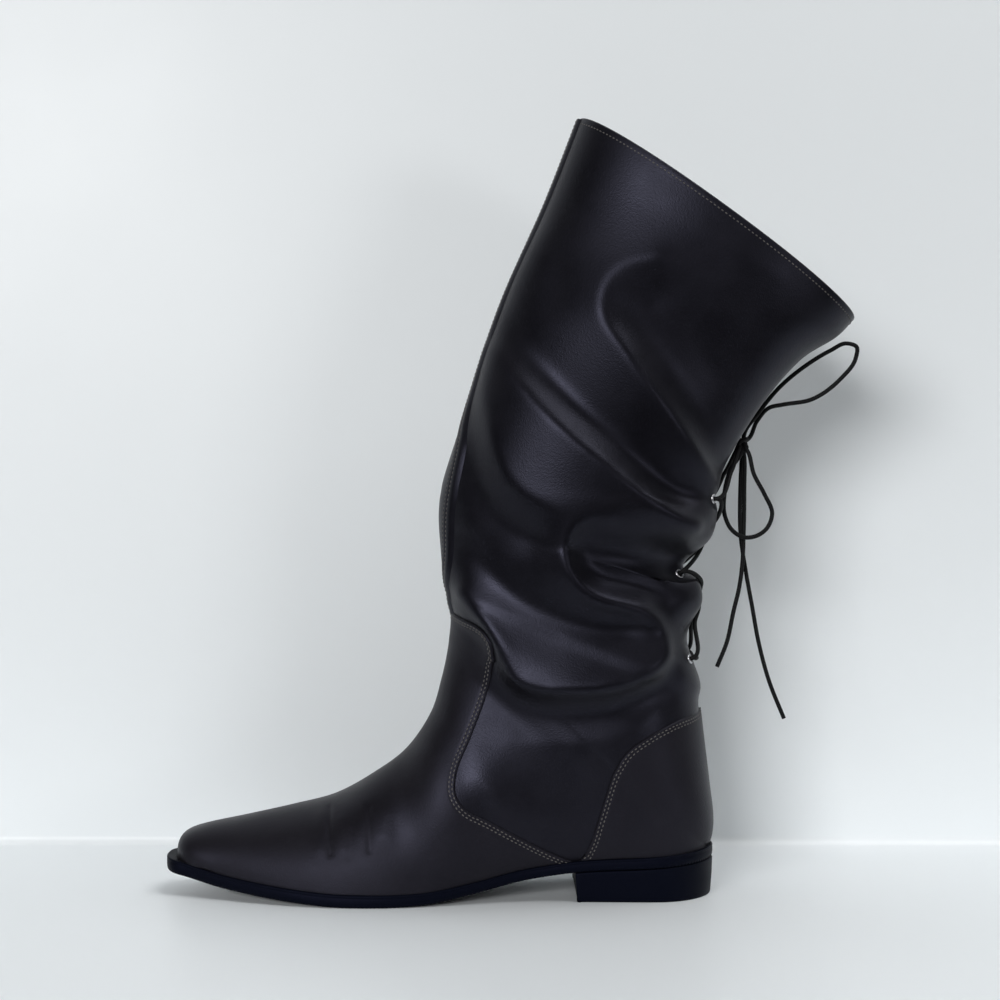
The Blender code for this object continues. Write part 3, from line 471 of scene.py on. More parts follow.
def plain_form(v, q):
    """Unfolded upper: v counts sections from toe to collar, and q goes round a section from the
    outer side of the sole over the ridge to the inner side. A section is a superellipse between
    its base and its ridge, cut off where it meets the sole, with a soft groove at the back."""
    on_sole = v < HEEL_V
    base_x = station("base_x", v)
    base_z = np.where(on_sole, sole_top(base_x) + SEAT_GAP, station("base_z", v))
    ridge_x = station("ridge_x", v)
    ridge_z = station("ridge_z", v)
    centre, feather = feather_sides(base_x)
    centre = np.where(on_sole, centre, 0.0)
    flank = station("flank", v)
    crown = station("crown", v)
    drop = np.where(v < EASE_TO, np.interp(v, DROP_V, DROP), section_drop(v))
    bend = np.where(drop > 0, flank, crown)
    foot = np.maximum(1 - np.abs(drop) ** bend, 0.0) ** (1 / bend)
    half = np.where(v < EASE_TO, feather / np.maximum(foot, 0.1), station("half", v))
    start = np.arctan2(foot, drop)
    turn = 1 - np.abs(2 * q - 1)
    turn = turn + SIDE_CROWDING * np.sin(2 * math.pi * turn) / (2 * math.pi)
    angle = start + (math.pi - start) * turn
    cosine = np.cos(angle)
    sine = np.maximum(np.sin(angle), 0.0)
    power = np.where(cosine > 0, flank, crown)
    reach = (np.abs(cosine) ** power + sine ** power) ** (-1 / power)
    width = sine * reach
    y = centre + np.where(q < 0.5, -1.0, 1.0) * half * width
    run = np.hypot(ridge_x - base_x, ridge_z - base_z)
    groove = station("groove", v) * np.exp(-((y - centre) / GROOVE_HALF) ** 2) * (cosine > 0)
    share = (drop - cosine * reach) / (1 + drop) + groove / run
    x = base_x + share * (ridge_x - base_x)
    z = base_z + share * (ridge_z - base_z)
    z = z + np.where(v < 1, (1 - v) ** 2, 0.0) * (sole_top(x) + SEAT_GAP - z)
    return np.stack((x, y, z), axis=-1), width


def normal_of(form, v, q):
    """Outward direction of a surface: the cross product of its slopes along v and q."""
    along = form(np.minimum(v + 0.05, LAST_V), q) - form(np.maximum(v - 0.05, 0.0), q)
    round_ = form(v, np.minimum(q + 0.004, 1.0)) - form(v, np.maximum(q - 0.004, 0.0))
    normal = np.cross(along, round_)
    seam = (v >= HEEL_V) & ((q <= 0) | (q >= 1))
    normal[..., 1] = np.where(seam, 0.0, normal[..., 1])
    return unit(normal)


def blur(field, turns):
    """Field rounded off: each turn mixes every cell with its neighbours as 1, 2, 1."""
    field = field.copy()
    for _ in range(turns):
        field[1:-1] = (field[:-2] + 2 * field[1:-1] + field[2:]) / 4
        field[:, 1:-1] = (field[:, :-2] + 2 * field[:, 1:-1] + field[:, 2:]) / 4
    return field


def relief_map():
    """Heights of the folds over the side view: each fold line keeps its heights and every other
    place is the mean of its four neighbours, as a stretched skin is. Crests are rounded a
    little and hollows much more."""
    low = np.array(RELIEF_LOW)
    size = np.round((np.array(RELIEF_HIGH) - low) / RELIEF_STEP).astype(int) + 1
    total = np.zeros(size)
    count = np.zeros(size)
    for _, start, middle, end, points in FOLD_LINES:
        line = through(points, RELIEF_STEP / 2)
        heights = smooth(np.array((0.0, 0.5, 1.0)), np.array((start, middle, end)),
                         np.linspace(0.0, 1.0, len(line)))
        cells = np.round((line - low) / RELIEF_STEP).astype(int)
        np.add.at(total, (cells[:, 0], cells[:, 1]), heights)
        np.add.at(count, (cells[:, 0], cells[:, 1]), 1)
    held = count > 0
    field = total / np.maximum(count, 1)
    free = ~held[1:-1, 1:-1]
    for _ in range(RELIEF_TURNS):
        mean = (field[:-2, 1:-1] + field[2:, 1:-1] + field[1:-1, :-2] + field[1:-1, 2:]) / 4
        field[1:-1, 1:-1] = np.where(free, mean, field[1:-1, 1:-1])
    return blur(np.maximum(blur(field, CREST_BLUR), blur(field, HOLLOW_BLUR)), CREST_BLUR)


RELIEF = relief_map()


def relief(x, z):
    """Height of the fold map at side-view places, linear between its four nearest cells."""
    across = np.clip((x - RELIEF_LOW[0]) / RELIEF_STEP, 0.0, RELIEF.shape[0] - 1.001)
    up = np.clip((z - RELIEF_LOW[1]) / RELIEF_STEP, 0.0, RELIEF.shape[1] - 1.001)
    i = across.astype(int)
    j = up.astype(int)
    a = across - i
    b = up - j
    return ((1 - a) * ((1 - b) * RELIEF[i, j] + b * RELIEF[i, j + 1])
            + a * ((1 - b) * RELIEF[i + 1, j] + b * RELIEF[i + 1, j + 1]))


def toe_creases(x, z):
    """Soft ridges and troughs along short straight lines: height times exp(-(gap / half)^2)."""
    height = np.zeros_like(x)
    for _, x1, z1, x2, z2, half, rise in TOE_CREASES:
        run = np.array((x2 - x1, z2 - z1))
        t = np.clip(((x - x1) * run[0] + (z - z1) * run[1]) / (run @ run), 0.0, 1.0)
        gap = np.hypot(x - x1 - t * run[0], z - z1 - t * run[1])
        height += rise * np.exp(-(gap / half) ** 2)
    return height


def leather(v, q):
    """Upper with its folds: the plain form moved along its normal by the fold map, which fades
    out towards the front and back lines of the shaft, and by the toe creases."""
    point, width = plain_form(v, q)
    x = point[..., 0]
    z = point[..., 2]
    folds = np.where(q < 0.5, relief(x, z), relief(x + INNER_SHIFT[0], z + INNER_SHIFT[1]))
    height = soft_step(width / FOLD_FADE) * folds + toe_creases(x, z)
    return point + height[..., None] * normal_of(lambda a, b: plain_form(a, b)[0], v, q)


# Mesh helpers

def grid_out(points):
    """Outward direction of a grid of points, from the slopes along its rows and columns."""
    return unit(np.cross(np.gradient(points, axis=0), np.gradient(points, axis=1)))


def even_rows(first, last, spacing):
    """Section counts whose sections lie about a given distance apart."""
    dense = np.linspace(first, last, 2000)
    base = np.stack((station("base_x", dense), station("base_z", dense)), axis=1)
    ridge = np.stack((station("ridge_x", dense), station("ridge_z", dense)), axis=1)
    run = (runs(base) + runs(ridge)) / 2
    return np.interp(np.linspace(0.0, run[-1], int(run[-1] / spacing) + 1), run, dense)


def grid_faces(rows, columns, start=0, closed=False, turned=False):
    """Four-sided faces of a grid, with the last column joined to the first where it is closed."""
    here = np.arange(columns if closed else columns - 1)
    there = (here + 1) % columns
    row = (start + np.arange(rows - 1) * columns)[:, None]
    corners = [row + here, row + columns + here, row + columns + there, row + there]
    faces = np.stack(corners, axis=-1).reshape(-1, 4)
    return faces[:, ::-1] if turned else faces


def add_piece(name, grids, material, replaces=(), merge=None):
    """Piece made of grids, each (points in millimetres, closed, turned), riding on the boot."""
    points = []
    faces = []
    start = 0
    for grid, closed, turned in grids:
        points.append(grid.reshape(-1, 3))
        faces.append(grid_faces(grid.shape[0], grid.shape[1], start, closed, turned))
        start += grid.shape[0] * grid.shape[1]
    mesh = bpy.data.meshes.new(name)
    mesh.from_pydata(np.concatenate(points) * MM, [], np.concatenate(faces))
    if merge:
        work = bmesh.new()
        work.from_mesh(mesh)
        bmesh.ops.remove_doubles(work, verts=work.verts, dist=merge)
        work.to_mesh(mesh)
        work.free()
    mesh.shade_smooth()
    mesh.materials.append(material)
    piece = bpy.data.objects.new(name, mesh)
    bpy.context.scene.collection.objects.link(piece)
    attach(piece, "root")
    if replaces:
        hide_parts(*replaces)
    return piece


def add_uv(piece, along, around):
    """UV map with the given values at each point."""
    layer = piece.data.uv_layers.new(name="UVMap")
    corners = np.empty(len(piece.data.loops), np.int32)
    piece.data.loops.foreach_get("vertex_index", corners)
    layer.uv.foreach_set("vector", np.stack((along[corners], around[corners]), axis=1).ravel())


def tube(path, radius, sides):
    """Round tube: a circle carried along a path, kept square to it and turned as little as
    possible, with both ends drawn in to a point."""
    tangent = unit(np.gradient(path, axis=0))
    side = np.empty_like(path)
    side[0] = unit(np.cross(tangent[0], (0.31, 0.94, 0.12)))
    for place in range(1, len(path)):
        side[place] = side[place - 1] - tangent[place] * (side[place - 1] @ tangent[place])
        side[place] /= np.linalg.norm(side[place])
    other = np.cross(tangent, side)
    turn = 2 * math.pi * np.arange(sides) / sides
    ring = side[:, None] * np.cos(turn)[:, None] + other[:, None] * np.sin(turn)[:, None]
    body = path[:, None] + radius * ring
    first = path[0] + radius * np.array((0.02, 0.6))[:, None, None] * ring[0]
    last = path[-1] + radius * np.array((0.6, 0.02))[:, None, None] * ring[-1]
    return np.concatenate((first, body, last))


def inside_edge(points, edge, distance):
    """Line of points on a grid at a distance from its edge: on each grid line that runs to the
    edge, the place where the distance to the edge curve is reached."""
    dense = through(edge, 0.4)
    gap = np.linalg.norm(points[:, :, None] - dense, axis=-1).min(axis=2)
    line = []
    for place in range(points.shape[1]):
        order = np.maximum.accumulate(gap[::-1, place])
        if order[-1] > distance:
            line.append([np.interp(distance, order, points[::-1, place, axis]) for axis in range(3)])
    return np.array(line)


def lap_panel(lines_v, lines_q):
    """Panel that laps over the shaft: grid lines run from its far side to its lapped edge, the
    rows crowd towards the edge. Returns the grid on the leather, before it is lifted."""
    dense = leather(lines_v, lines_q)
    steps = np.linalg.norm(np.diff(dense, axis=0), axis=-1)
    run = np.concatenate((np.zeros((1, dense.shape[1])), np.cumsum(steps, axis=0)))
    far = np.linspace(0.0, 1.0, max(4, int(run[-1].max() / PANEL_SPACING)))
    v = []
    q = []
    for place in range(dense.shape[1]):
        total = run[-1, place]
        scale = min(1.0, total / 9.0)
        at = np.concatenate((far[:-1] * (total - PANEL_NEAR[0] * scale), total - PANEL_NEAR * scale))
        v.append(np.interp(at, run[:, place], lines_v[:, place]))
        q.append(np.interp(at, run[:, place], lines_q[:, place]))
    return leather(np.array(v).T, np.array(q).T)


def panel_lift(points, out, edge, lap, rows):
    """Lift of a lapped panel: full thickness inside, a quarter circle down at the edge and a
    shallow channel under each stitch row."""
    sizes = bpy.context.scene.boot_sizes
    gap = np.full(points.shape[:2], 50.0)
    dense = through(edge, 0.4)
    gap[-rows:] = np.linalg.norm(points[-rows:, :, None] - dense, axis=-1).min(axis=2)
    t = np.clip(gap / lap, 0.0, 1.0)
    lift = SEAT_GAP + lap * np.sqrt(1 - (1 - t) ** 2)
    for row in (sizes.first_row / MM, sizes.second_row / MM):
        lift = lift - CHANNEL_DEPTH * np.exp(-((gap - row) / CHANNEL_HALF) ** 2)
    return points + lift[..., None] * out


STITCHES = []


def add_stitches(line, out_of):
    """Adds stitches along a line: half-sunk ellipsoids, one every pitch, turned along the line
    and leaning on the surface under it."""
    sizes = bpy.context.scene.boot_sizes
    run = runs(line)
    count = max(1, int(run[-1] / (sizes.stitch_pitch / MM)))
    at = (np.arange(count) + 0.5) * run[-1] / count
    centre = read_line(at, run, line)
    along = unit(read_line(at + 0.3, run, line) - read_line(at - 0.3, run, line))
    out = read_line(at, run, out_of)
    out = unit(out - along * np.sum(out * along, axis=1, keepdims=True))
    side = np.cross(out, along)
    turn = 2 * math.pi * np.arange(8) / 8
    lean = np.linspace(-1.5, 1.5, 6)
    x = sizes.stitch_length / MM / 2 * np.sin(lean)[:, None] * np.ones(8)
    y = sizes.stitch_width / MM / 2 * np.cos(lean)[:, None] * np.cos(turn)
    z = STITCH_HEIGHT * np.cos(lean)[:, None] * np.sin(turn)
    shape = (x[..., None] * along[:, None, None] + y[..., None] * side[:, None, None]
             + z[..., None] * out[:, None, None])
    STITCHES.extend((grid, True, False) for grid in centre[:, None, None] + shape)


def sew(grid, out, distance):
    """Adds a stitch row at a distance from the last row of a grid."""
    line = inside_edge(grid[-SEW_ROWS:], grid[-1], distance)
    flat = grid.reshape(-1, 3)
    facing = out.reshape(-1, 3)
    step = max(1, len(line) // 120)
    nearest = [int(np.argmin(((flat - point) ** 2).sum(axis=1))) for point in line[::step]]
    at = np.arange(len(line))
    add_stitches(line, read_line(at, at[::step], facing[nearest]))


# Materials

def node(tree, kind, settings=(), links=()):
    """Adds a node, sets its properties or sockets, and links (socket, source) pairs into it."""
    made = tree.nodes.new(kind)
    for name, value in dict(settings).items():
        if isinstance(name, str) and hasattr(made, name):
            setattr(made, name, value)
        else:
            made.inputs[name].default_value = value
    for name, source in links:
        tree.links.new(source, made.inputs[name])
    return made


def new_material(name, settings):
    """Material with a Principled shader whose sockets are set from a table."""
    material = bpy.data.materials.new(name)
    material.use_nodes = True
    tree = material.node_tree
    shader = tree.nodes["Principled BSDF"]
    for socket, value in settings.items():
        shader.inputs[socket].default_value = value
    return material, tree, shader


def noise(tree, size, detail, roughness=0.5):
    """Cloudy pattern in the piece's own place, with patches of about a size in metres."""
    place = node(tree, "ShaderNodeTexCoord").outputs["Object"]
    settings = {"Scale": 1 / size, "Detail": detail, "Roughness": roughness}
    return node(tree, "ShaderNodeTexNoise", settings, [("Vector", place)]).outputs["Fac"]


def vary_gloss(tree, shader, source, low, high, span=(0.0, 1.0)):
    """Roughness that goes from low to high as a pattern goes through a span."""
    settings = {"From Min": span[0], "From Max": span[1], "To Min": low, "To Max": high}
    gloss = node(tree, "ShaderNodeMapRange", settings, [("Value", source)])
    tree.links.new(gloss.outputs["Result"], shader.inputs["Roughness"])


def add_bump(tree, shader, height, strength, distance):
    """Fine relief from a pattern, with its depth in metres."""
    bump = node(tree, "ShaderNodeBump", {"Strength": strength, "Distance": distance}, [("Height", height)])
    tree.links.new(bump.outputs["Normal"], shader.inputs["Normal"])


def leather_material(name, pale, deep, roughness):
    """Corrected-grain calf leather, dyed through and pressed: a cloudy dye, a satin finish whose
    gloss wanders a little, and a pebbled grain of about half a millimetre."""
    material, tree, shader = new_material(name, {"Roughness": roughness, "IOR": 1.5,
                                                 "Specular IOR Level": 0.3,
                                                 "Specular Tint": linear("#cfd0f2")})
    place = node(tree, "ShaderNodeTexCoord").outputs["Object"]
    cloud = noise(tree, 0.035, 5.0, 0.6)
    grain = node(tree, "ShaderNodeTexVoronoi", {"Scale": 1 / 0.0006}, [("Vector", place)])
    pores = noise(tree, 0.0011, 4.0)
    mixed = node(tree, "ShaderNodeMath", {"operation": "MULTIPLY_ADD", 1: 0.55}, [(0, pores), (2, cloud)])
    ramp = node(tree, "ShaderNodeValToRGB", (), [("Fac", mixed.outputs[0])])
    ramp.color_ramp.elements[0].position = 0.50
    ramp.color_ramp.elements[0].color = deep
    ramp.color_ramp.elements[1].position = 1.05
    ramp.color_ramp.elements[1].color = pale
    tree.links.new(ramp.outputs["Color"], shader.inputs["Base Color"])
    vary_gloss(tree, shader, cloud, roughness - 0.05, roughness + 0.07, (0.3, 0.7))
    pebble = node(tree, "ShaderNodeMath", {"operation": "MULTIPLY_ADD", 1: 0.6},
                  [(0, grain.outputs["Distance"]), (2, pores)])
    add_bump(tree, shader, pebble.outputs[0], 0.22, 0.0003)
    return material


def rubber_material(name, tone):
    """Moulded rubber: matte blue-black with a fine cast texture of about a millimetre."""
    material, tree, shader = new_material(name, {"Base Color": tone, "Roughness": 0.5, "IOR": 1.52,
                                                 "Specular IOR Level": 0.1,
                                                 "Specular Tint": linear("#b4b8f0")})
    vary_gloss(tree, shader, noise(tree, 0.02, 3.0), 0.42, 0.62)
    add_bump(tree, shader, noise(tree, 0.001, 3.0), 0.2, 0.0002)
    return material


def lining_material(name, tone):
    """Vegetable-tanned lining leather: matte, with a soft cloud and fine hair pores."""
    material, tree, shader = new_material(name, {"Base Color": tone, "Roughness": 0.75, "IOR": 1.45})
    shade = node(tree, "ShaderNodeValToRGB", (), [("Fac", noise(tree, 0.02, 4.0))])
    shade.color_ramp.elements[0].color = [channel * 0.7 for channel in tone[:3]] + [1.0]
    shade.color_ramp.elements[1].color = list(tone)
    tree.links.new(shade.outputs["Color"], shader.inputs["Base Color"])
    add_bump(tree, shader, noise(tree, 0.0012, 2.0), 0.15, 0.0002)
    return material


def thread_material(name, tone):
    """Bonded polyester thread: dull, with a fine fibrous surface."""
    material, tree, shader = new_material(name, {"Base Color": tone, "Roughness": 0.65,
                                                 "Specular IOR Level": 0.3})
    add_bump(tree, shader, noise(tree, 0.0004, 2.0), 0.3, 0.0001)
    return material


def nickel_material(name, tone):
    """Nickel-plated brass: bright and a little brushed by wear."""
    material, tree, shader = new_material(name, {"Base Color": tone, "Metallic": 1.0, "Roughness": 0.28})
    vary_gloss(tree, shader, noise(tree, 0.001, 3.0), 0.2, 0.4)
    return material


def cord_material(name, tone):
    """Waxed braided cotton: strands cross in a fine diamond weave along the cord's own map, with
    a strand about 0.7 mm wide."""
    material, tree, shader = new_material(name, {"Base Color": tone, "Roughness": 0.6,
                                                 "Specular IOR Level": 0.2})
    place = node(tree, "ShaderNodeTexCoord").outputs["UV"]
    ways = []
    for turn in (0.8, -0.8):
        wave = node(tree, "ShaderNodeMapping", {"Rotation": (0.0, 0.0, turn)}, [("Vector", place)])
        ways.append(node(tree, "ShaderNodeTexWave", {"Scale": 1 / 0.0044}, [("Vector", wave.outputs[0])]))
    weave = node(tree, "ShaderNodeMath", {"operation": "MAXIMUM"},
                 [(0, ways[0].outputs["Fac"]), (1, ways[1].outputs["Fac"])])
    add_bump(tree, shader, weave.outputs[0], 0.4, 0.0002)
    return material


def floor_material(name, tone):
    """Painted board: pale, satin and very slightly uneven. Its back is clear, so that the boot
    can be looked at from behind the upright part."""
    material, tree, shader = new_material(name, {"Base Color": tone, "Roughness": 0.4})
    vary_gloss(tree, shader, noise(tree, 0.2, 3.0), 0.32, 0.46)
    clear = node(tree, "ShaderNodeBsdfTransparent").outputs["BSDF"]
    back = node(tree, "ShaderNodeNewGeometry").outputs["Backfacing"]
    sided = node(tree, "ShaderNodeMixShader", {}, [(0, back), (1, shader.outputs["BSDF"]), (2, clear)])
    tree.links.new(sided.outputs["Shader"], tree.nodes["Material Output"].inputs["Surface"])
    return material


def get_material(kind):
    """Material of a piece, made the first time it is asked for."""
    tones = bpy.context.scene.boot_colours
    made = bpy.data.materials.get(kind)
    if made:
        return made
    makers = {
        "satin_calf_leather": lambda n: leather_material(n, tones.leather[:], tones.leather_deep[:], 0.39),
        "panel_calf_leather": lambda n: leather_material(n, tones.panel[:], tones.panel_deep[:], 0.47),
        "moulded_rubber": lambda n: rubber_material(n, tones.rubber[:]),
        "lining_leather": lambda n: lining_material(n, tones.lining[:]),
        "bonded_thread": lambda n: thread_material(n, tones.thread[:]),
        "nickel_plate": lambda n: nickel_material(n, tones.nickel[:]),
        "waxed_cotton_cord": lambda n: cord_material(n, tones.cord[:]),
        "painted_board": lambda n: floor_material(n, tones.floor[:]),
    }
    return makers[kind](kind)


# Sole

def closed_outline(side_x, centre, half, count):
    """Closed outline, outer side first, resampled to a count of evenly spaced points."""
    outer = np.stack((side_x, centre - half), axis=1)
    inner = np.stack((side_x, centre + half), axis=1)[::-1]
    line = np.concatenate((outer, inner, outer[:1]))
    run = runs(line)
    keep = np.concatenate(([True], np.diff(run) > 1e-6))
    at = np.linspace(0.0, run[-1], count, endpoint=False)
    return read_line(at, run[keep], line[keep])


def outline_out(outline):
    """Outward direction of a closed outline that runs round to the left."""
    tangent = np.roll(outline, -1, axis=0) - np.roll(outline, 1, axis=0)
    return unit(np.stack((tangent[:, 1], -tangent[:, 0]), axis=1))


def slab(outline, middle, rings):
    """Closed slab: each ring is (share, inset, height), the outline drawn in by the inset, then
    pulled towards the middle line by one minus the share. Height gives z from x."""
    out = outline_out(outline)
    grid = []
    for share, inset, height in rings:
        ring = outline - out * np.asarray(inset)[..., None]
        spine = middle(ring[:, 0])
        ring = spine + (ring - spine) * share
        grid.append(np.column_stack((ring, height(ring[:, 0]))))
    return np.array(grid)


def spread(start, end, count):
    """Places from start to end, closer together near both ends."""
    return start + (end - start) * (1 - np.cos(np.linspace(0.0, math.pi, count))) / 2


class BOOT_OT_outsole(bpy.types.Operator):
    """Outsole with its rounded edge, its lip at the feather line and its notched lower edge"""
    bl_idname = "boot.outsole"
    bl_label = "Outsole"

    def execute(self, context):
        toe = HEEL_BACK - SOLE_LENGTH
        x = spread(toe + 0.01, HEEL_BACK - 0.01, 600)
        centre, half = sole_sides(x)
        outline = closed_outline(x, centre, half, 2000)
        along = runs(np.vstack((outline, outline[:1])))[:-1]
        notch = NOTCH_DEPTH * (0.5 + 0.5 * np.cos(2 * math.pi * along / NOTCH_PITCH))

        def middle(at):
            inner = np.clip(at, toe + 14.0, HEEL_BACK - 24.0)
            return np.stack((inner, sole_sides(inner)[0]), axis=1)

        def low(rise):
            return lambda at: sole_bottom(at) + rise

        def high(fall):
            return lambda at: sole_top(at) - fall

        rings = [(share, 3.0, low(0.0)) for share in (0.001, 0.4, 0.75, 1.0)]
        rings += [(1.0, 1.2 + notch, low(0.0)), (1.0, 0.6 + notch, low(0.15)), (1.0, 0.3 + notch, low(0.5)),
                  (1.0, 0.15 + notch * 0.7, low(1.1)), (1.0, 0.1, low(1.6)), (1.0, 0.0, low(2.4))]
        edge = ((0.0, 1.9), (0.18, 1.5), (0.02, 1.1), (0.0, 0.7), (0.22, 0.25), (0.6, 0.05), (1.1, 0.0),
                (2.2, 0.1), (5.0, 0.1))
        rings += [(1.0, inset, high(fall)) for inset, fall in edge]
        rings += [(share, 5.0, high(0.1)) for share in (0.6, 0.001)]
        grid = slab(outline, middle, rings)
        add_piece("outsole_rubber", [(grid, True, True)], get_material("moulded_rubber"), ["outsole"])
        return {"FINISHED"}


class BOOT_OT_heel(bpy.types.Operator):
    """Heel block under the heel seat, with a straight breast and a slight taper"""
    bl_idname = "boot.heel"
    bl_label = "Heel"

    def execute(self, context):
        x = HEEL_BREAST + (HEEL_BACK - 0.6 - HEEL_BREAST) * np.sin(np.linspace(0.0, math.pi / 2, 300))
        centre, half = sole_sides(x)
        corner = 1 - 0.02 * np.exp(-(x - HEEL_BREAST) / 0.8)
        outline = closed_outline(x, centre, (half - 0.3) * corner, 900)

        def middle(at):
            inner = np.clip(at, HEEL_BREAST + 14.0, HEEL_BACK - 22.0)
            return np.stack((inner, np.zeros_like(inner)), axis=1)

        def level(z):
            return lambda at: np.full_like(at, z)

        def under(fall):
            return lambda at: sole_bottom(at) - fall

        side = ((2.6, 0.0), (1.7, 0.02), (1.25, 0.25), (1.05, 0.8), (0.95, 1.6), (0.6, 6.0), (0.25, 10.5))
        seat = ((0.05, 1.6), (0.0, 0.9), (0.15, 0.4), (0.5, 0.2), (1.6, 0.2))
        rings = [(share, 1.6, level(0.0)) for share in (0.001, 0.5)]
        rings += [(1.0, inset, level(z)) for inset, z in side]
        rings += [(1.0, inset, under(fall)) for inset, fall in seat]
        rings += [(share, 1.6, under(0.2)) for share in (0.5, 0.001)]
        grid = slab(outline, middle, rings)
        add_piece("heel_rubber", [(grid, True, True)], get_material("moulded_rubber"), ["heel_block"])
        return {"FINISHED"}


class BOOT_OT_insole(bpy.types.Operator):
    """Insole with a rounded edge, slightly cupped under the foot"""
    bl_idname = "boot.insole"
    bl_label = "Insole"

    def execute(self, context):
        room = context.scene.boot_sizes.wall / MM + 3.2
        x = spread(HEEL_BACK - SOLE_LENGTH + 3 * SOLE_LEDGE + room, HEEL_BACK - SOLE_LEDGE - room, 300)
        centre, half = feather_sides(x)
        outline = closed_outline(x, centre, np.maximum(half - room, 0.8), 500)

        def middle(at):
            inner = np.clip(at, x[0] + 14.0, x[-1] - 22.0)
            return np.stack((inner, feather_sides(inner)[0]), axis=1)

        def rise(height):
            return lambda at: sole_top(at) + SEAT_GAP + height

        rings = [(0.001, 0.5, rise(0.0)), (0.6, 0.5, rise(0.0)), (1.0, 0.6, rise(0.0)), (1.0, 0.1, rise(0.3)),
                 (1.0, 0.0, rise(1.0)), (1.0, 0.1, rise(1.7)), (1.0, 0.6, rise(2.0)), (0.8, 0.8, rise(1.8)),
                 (0.5, 0.8, rise(1.6)), (0.2, 0.8, rise(1.5)), (0.001, 0.8, rise(1.5))]
        add_piece("insole_leather", [(slab(outline, middle, rings), True, True)],
                  get_material("lining_leather"), ["insole"])
        return {"FINISHED"}


# Upper

class BOOT_OT_shaft(bpy.types.Operator):
    """Shaft and quarters in one leather with their folds and a turned collar edge, and the lining"""
    bl_idname = "boot.shaft"
    bl_label = "Shaft"

    def execute(self, context):
        wall = context.scene.boot_sizes.wall / MM
        rows = even_rows(5.0, LAST_V, 1.55)
        v, q = np.meshgrid(rows, np.linspace(0.0, 1.0, 265), indexing="ij")
        points = leather(v, q)
        on_sole = rows < HEEL_V
        points[on_sole, 0, 2] -= 0.8
        points[on_sole, -1, 2] -= 0.8
        out = grid_out(points)
        up = unit(points[-1] - points[-3])
        rim = []
        for turn in np.linspace(0.0, math.pi, 9)[1:]:
            sink = wall / 2 * (math.cos(turn) - 1)
            rim.append(points[-1] + sink * out[-1] + wall / 2 * math.sin(turn) * up)
        facing = [points[-row] - wall * out[-row] for row in (2, 4, 7, 11)]
        shaft = np.concatenate((points, rim, facing))
        add_piece("shaft_leather", [(shaft, False, False)], get_material("satin_calf_leather"),
                  ["upper"], 1e-6)
        sew(points, out, COLLAR_ROW)

        rows = even_rows(1.0, LAST_V, 3.2)
        v, q = np.meshgrid(rows, np.linspace(0.0, 1.0, 121), indexing="ij")
        points = leather(v, q)
        lining = points - (wall - 0.1) * grid_out(points)
        add_piece("shaft_lining", [(lining[:-4], False, True)], get_material("lining_leather"),
                  (), 1e-6)
        return {"FINISHED"}


def in_outline(points, outline):
    """Whether side-view places lie inside an outline: an odd number of its edges is crossed."""
    x = points[..., 0][..., None]
    z = points[..., 2][..., None]
    a = outline
    b = np.roll(outline, -1, axis=0)
    spans = (a[:, 1] > z) != (b[:, 1] > z)
    cross = a[:, 0] + (z - a[:, 1]) / (b[:, 1] - a[:, 1] + 1e-12) * (b[:, 0] - a[:, 0])
    return (spans & (x < cross)).sum(axis=-1) % 2 == 1


def first_exit(form, start, stop, outline, turns=24):
    """Parameter at which each line of a form first leaves an outline: a coarse walk, then
    halving of the step that leaves."""
    steps = np.linspace(0.0, 1.0, 260)[:, None]
    walk = in_outline(form(start + (stop - start) * steps), outline)
    left = np.argmax(~walk, axis=0)
    low = steps[np.maximum(left - 1, 0), 0]
    high = steps[left, 0]
    for _ in range(turns):
        middle = (low + high) / 2
        inside = in_outline(form((start + (stop - start) * middle)[None]), outline)[0]
        low = np.where(inside, middle, low)
        high = np.where(inside, high, middle)
    return start + (stop - start) * low


def seam_places():
    """Section and place round it of points along the vamp seam, from the sole to the front: the
    nearest place on a grid of the unfolded upper, then three steps down the slope of the gap."""
    line = through(VAMP_SEAM, 2.0)[::-1]
    v, q = np.meshgrid(np.linspace(8.0, 18.0, 300), np.linspace(0.0, 0.5, 260), indexing="ij")
    side = plain_form(v, q)[0][..., (0, 2)].reshape(-1, 2)
    near = [int(np.argmin(((side - point) ** 2).sum(axis=1))) for point in line]
    v = v.ravel()[near]
    q = q.ravel()[near]
    for _ in range(3):
        here = plain_form(v, q)[0][:, (0, 2)]
        by_v = (plain_form(v + 0.02, q)[0][:, (0, 2)] - here) / 0.02
        by_q = (plain_form(v, q + 0.001)[0][:, (0, 2)] - here) / 0.001
        gap = line - here
        area = by_v[:, 0] * by_q[:, 1] - by_v[:, 1] * by_q[:, 0]
        inner = (q > 0.004) & (q < 0.485) & (np.abs(area) > 1.0)
        area = np.where(inner, area, 1.0)
        v = v + np.where(inner, (gap[:, 0] * by_q[:, 1] - gap[:, 1] * by_q[:, 0]) / area, 0.0)
        q = q + np.where(inner, (by_v[:, 0] * gap[:, 1] - by_v[:, 1] * gap[:, 0]) / area, 0.0)
    q[0] = 0.0
    q[-1] = 0.5
    rough = np.stack((v, q), axis=1)
    for _ in range(3):
        rough[1:-1] = (rough[:-2] + 2 * rough[1:-1] + rough[2:]) / 4
    return rough.T


